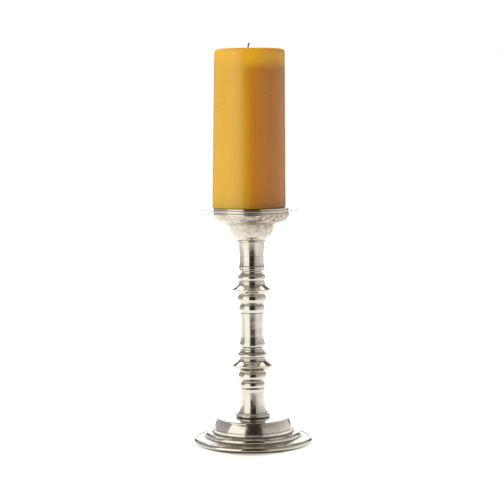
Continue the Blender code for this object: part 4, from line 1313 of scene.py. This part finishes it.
class CANDLESTICK_OT_stage(bpy.types.Operator):
    """Set up the floor, the lamps, the cards and the camera"""

    bl_idname = "candlestick.stage"
    bl_label = "Stage"

    def execute(self, context):
        self.floor()
        self.cards(context.scene.candlestick_finishes)
        for name, settings in LAMPS.items():
            lamp(name, *settings)
        self.world(context.scene)
        self.camera(context.scene)
        return {"FINISHED"}

    def floor(self):
        """The seamless paper that the candlestick stands on."""
        mesh = bpy.data.meshes.new("floor")
        left, right, front, back = -PAPER_SIDE, PAPER_SIDE, -PAPER_FRONT, PAPER_BACK
        corners = [(left, front, 0.0), (right, front, 0.0), (right, back, 0.0), (left, back, 0.0)]
        mesh.from_pydata(corners, [], [(0, 1, 2, 3)])
        mesh.materials.append(made_of(seamless_paper))
        floor = linked("floor", mesh)

    def cards(self, finishes):
        """The cards round the object, by azimuth, and the ceiling over it."""
        dark, edge, room = shaded(finishes.dark, 2.6), shaded(finishes.dark, 6.0), shaded(finishes.room, 1.1)
        low, softbox, sweep = CARD_FOOT, [3.0] * 3, [1.45] * 3

        def even(colour, top):
            """One glow up to a height, and the room over it."""
            return [(low, colour), (top, colour), (top + CARD_EDGE, room), (ROOM_TOP, room)]

        def fading(colour, *levels):
            """A glow that changes with height, and the room over it."""
            glows = [(height, shaded(colour, glow)) for height, glow in levels]
            return [*glows, (ROOM_FOOT, room), (ROOM_TOP, room)]

        left = fading(finishes.cool, (low, 0.85), (-0.1, 0.85), (0.15, 0.6), (1.0, 0.46), (1.7, 0.3))
        near = fading(finishes.warm, (low, 0.5), (1.2, 0.55), (1.7, 0.35))
        fill = fading(finishes.warm, (low, 0.76), (0.2, 0.76), (1.0, 0.58), (1.7, 0.4))
        right = fading(finishes.warm, (low, 0.9), (0.2, 0.9), (1.0, 0.6), (1.7, 0.4))
        card("dark_flag", (-23.5, 28.0), [(low, dark), (ROOM_TOP, dark)])
        card("key_card", (-78.0, -23.5), even(shaded(finishes.key, 1.35), 1.9))
        card("left_return", (-150.0, -78.0), left)
        card("left_gap", (-163.0, -150.0), even(edge, 1.5))
        card("near_fill", (28.0, 48.0), near)
        card("fill_card", (48.0, 84.0), fill)
        card("right_return", (84.0, 142.0), right)
        card("right_gap", (142.0, 160.0), [(low, edge), (ROOM_TOP, edge)])
        card("rear_sweep", (160.0, 197.0), even(sweep, 1.3))
        card("left_softbox", (-153.0, -140.0), [(1.65, softbox), (3.4, softbox)], SOFTBOX_DISTANCE)
        card("right_softbox", (140.0, 149.0), [(2.4, softbox), (4.4, softbox)], SOFTBOX_DISTANCE)
        columns = 2 * CARD_COLUMNS
        turns = [math.tau * step / columns for step in range(columns)]
        rim = [(CARD_DISTANCE * math.cos(turn), CARD_DISTANCE * math.sin(turn), ROOM_TOP) for turn in turns]
        reflected_only("ceiling", rim, [tuple(range(columns))], [*room, 1.0] * columns)

    def world(self, scene):
        """White for the camera and the metal, and dim and warm where it lights the object."""
        scene.world = bpy.data.worlds.new("studio")
        scene.world.use_nodes = True
        tree = scene.world.node_tree
        tree.nodes.clear()
        sky = blend(tree, shown_white(tree), SKY_ON_OBJECT, (1.0, 1.0, 1.0))
        add(tree, "ShaderNodeOutputWorld", {"Surface": shader(tree, "Background", {"Color": sky})})

    def camera(self, scene):
        """The photograph's camera."""
        data = bpy.data.cameras.new("camera")
        data.lens = CAMERA_LENS
        data.sensor_width = CAMERA_SENSOR
        data.clip_start, data.clip_end = CAMERA_CLIP
        scene.camera = linked("camera", data)
        scene.camera.location = CAMERA_PLACE
        scene.camera.rotation_mode = "QUATERNION"
        level = Euler((math.radians(90 - CAMERA_DOWN), 0.0, 0.0)).to_quaternion()
        scene.camera.rotation_quaternion = level @ Quaternion((0.0, 0.0, 1.0), math.radians(CAMERA_ROLL))
        scene.view_settings.view_transform = "Standard"


class CANDLESTICK_PT_panel(bpy.types.Panel):
    """Lists the pieces of the candlestick"""

    bl_idname = "CANDLESTICK_PT_panel"
    bl_label = "Candlestick"
    bl_space_type = "VIEW_3D"
    bl_region_type = "UI"
    bl_category = "Candlestick"

    def draw(self, context):
        layout = self.layout
        for group in ("candlestick_turning", "candlestick_candle", "candlestick_finishes"):
            settings = getattr(context.scene, group)
            box = layout.box()
            for name in settings.bl_rna.properties.keys():
                if name not in ("rna_type", "name"):
                    box.prop(settings, name)
        for step in STEPS:
            layout.operator(step.bl_idname)


STEPS = (
    CANDLESTICK_OT_foot,
    CANDLESTICK_OT_stems,
    CANDLESTICK_OT_knops,
    CANDLESTICK_OT_cup,
    CANDLESTICK_OT_plate,
    CANDLESTICK_OT_pricket,
    CANDLESTICK_OT_tie_rod,
    CANDLESTICK_OT_fasteners,
    CANDLESTICK_OT_candle,
    CANDLESTICK_OT_wick,
    CANDLESTICK_OT_stage,
)
CLASSES = (TurningSizes, CandleSizes, Finishes, *STEPS, CANDLESTICK_PT_panel)


def register():
    """Adds the sizes, the operators and the panel."""
    for item in CLASSES:
        bpy.utils.register_class(item)
    bpy.types.Scene.candlestick_turning = bpy.props.PointerProperty(type=TurningSizes)
    bpy.types.Scene.candlestick_candle = bpy.props.PointerProperty(type=CandleSizes)
    bpy.types.Scene.candlestick_finishes = bpy.props.PointerProperty(type=Finishes)


def unregister():
    """Takes them away again."""
    del bpy.types.Scene.candlestick_finishes
    del bpy.types.Scene.candlestick_candle
    del bpy.types.Scene.candlestick_turning
    for item in reversed(CLASSES):
        bpy.utils.unregister_class(item)


def main():
    """Builds every piece and the stage."""
    register()
    for step in STEPS:
        group, name = step.bl_idname.split(".")
        getattr(getattr(bpy.ops, group), name)()


if __name__ == "__main__":
    main()
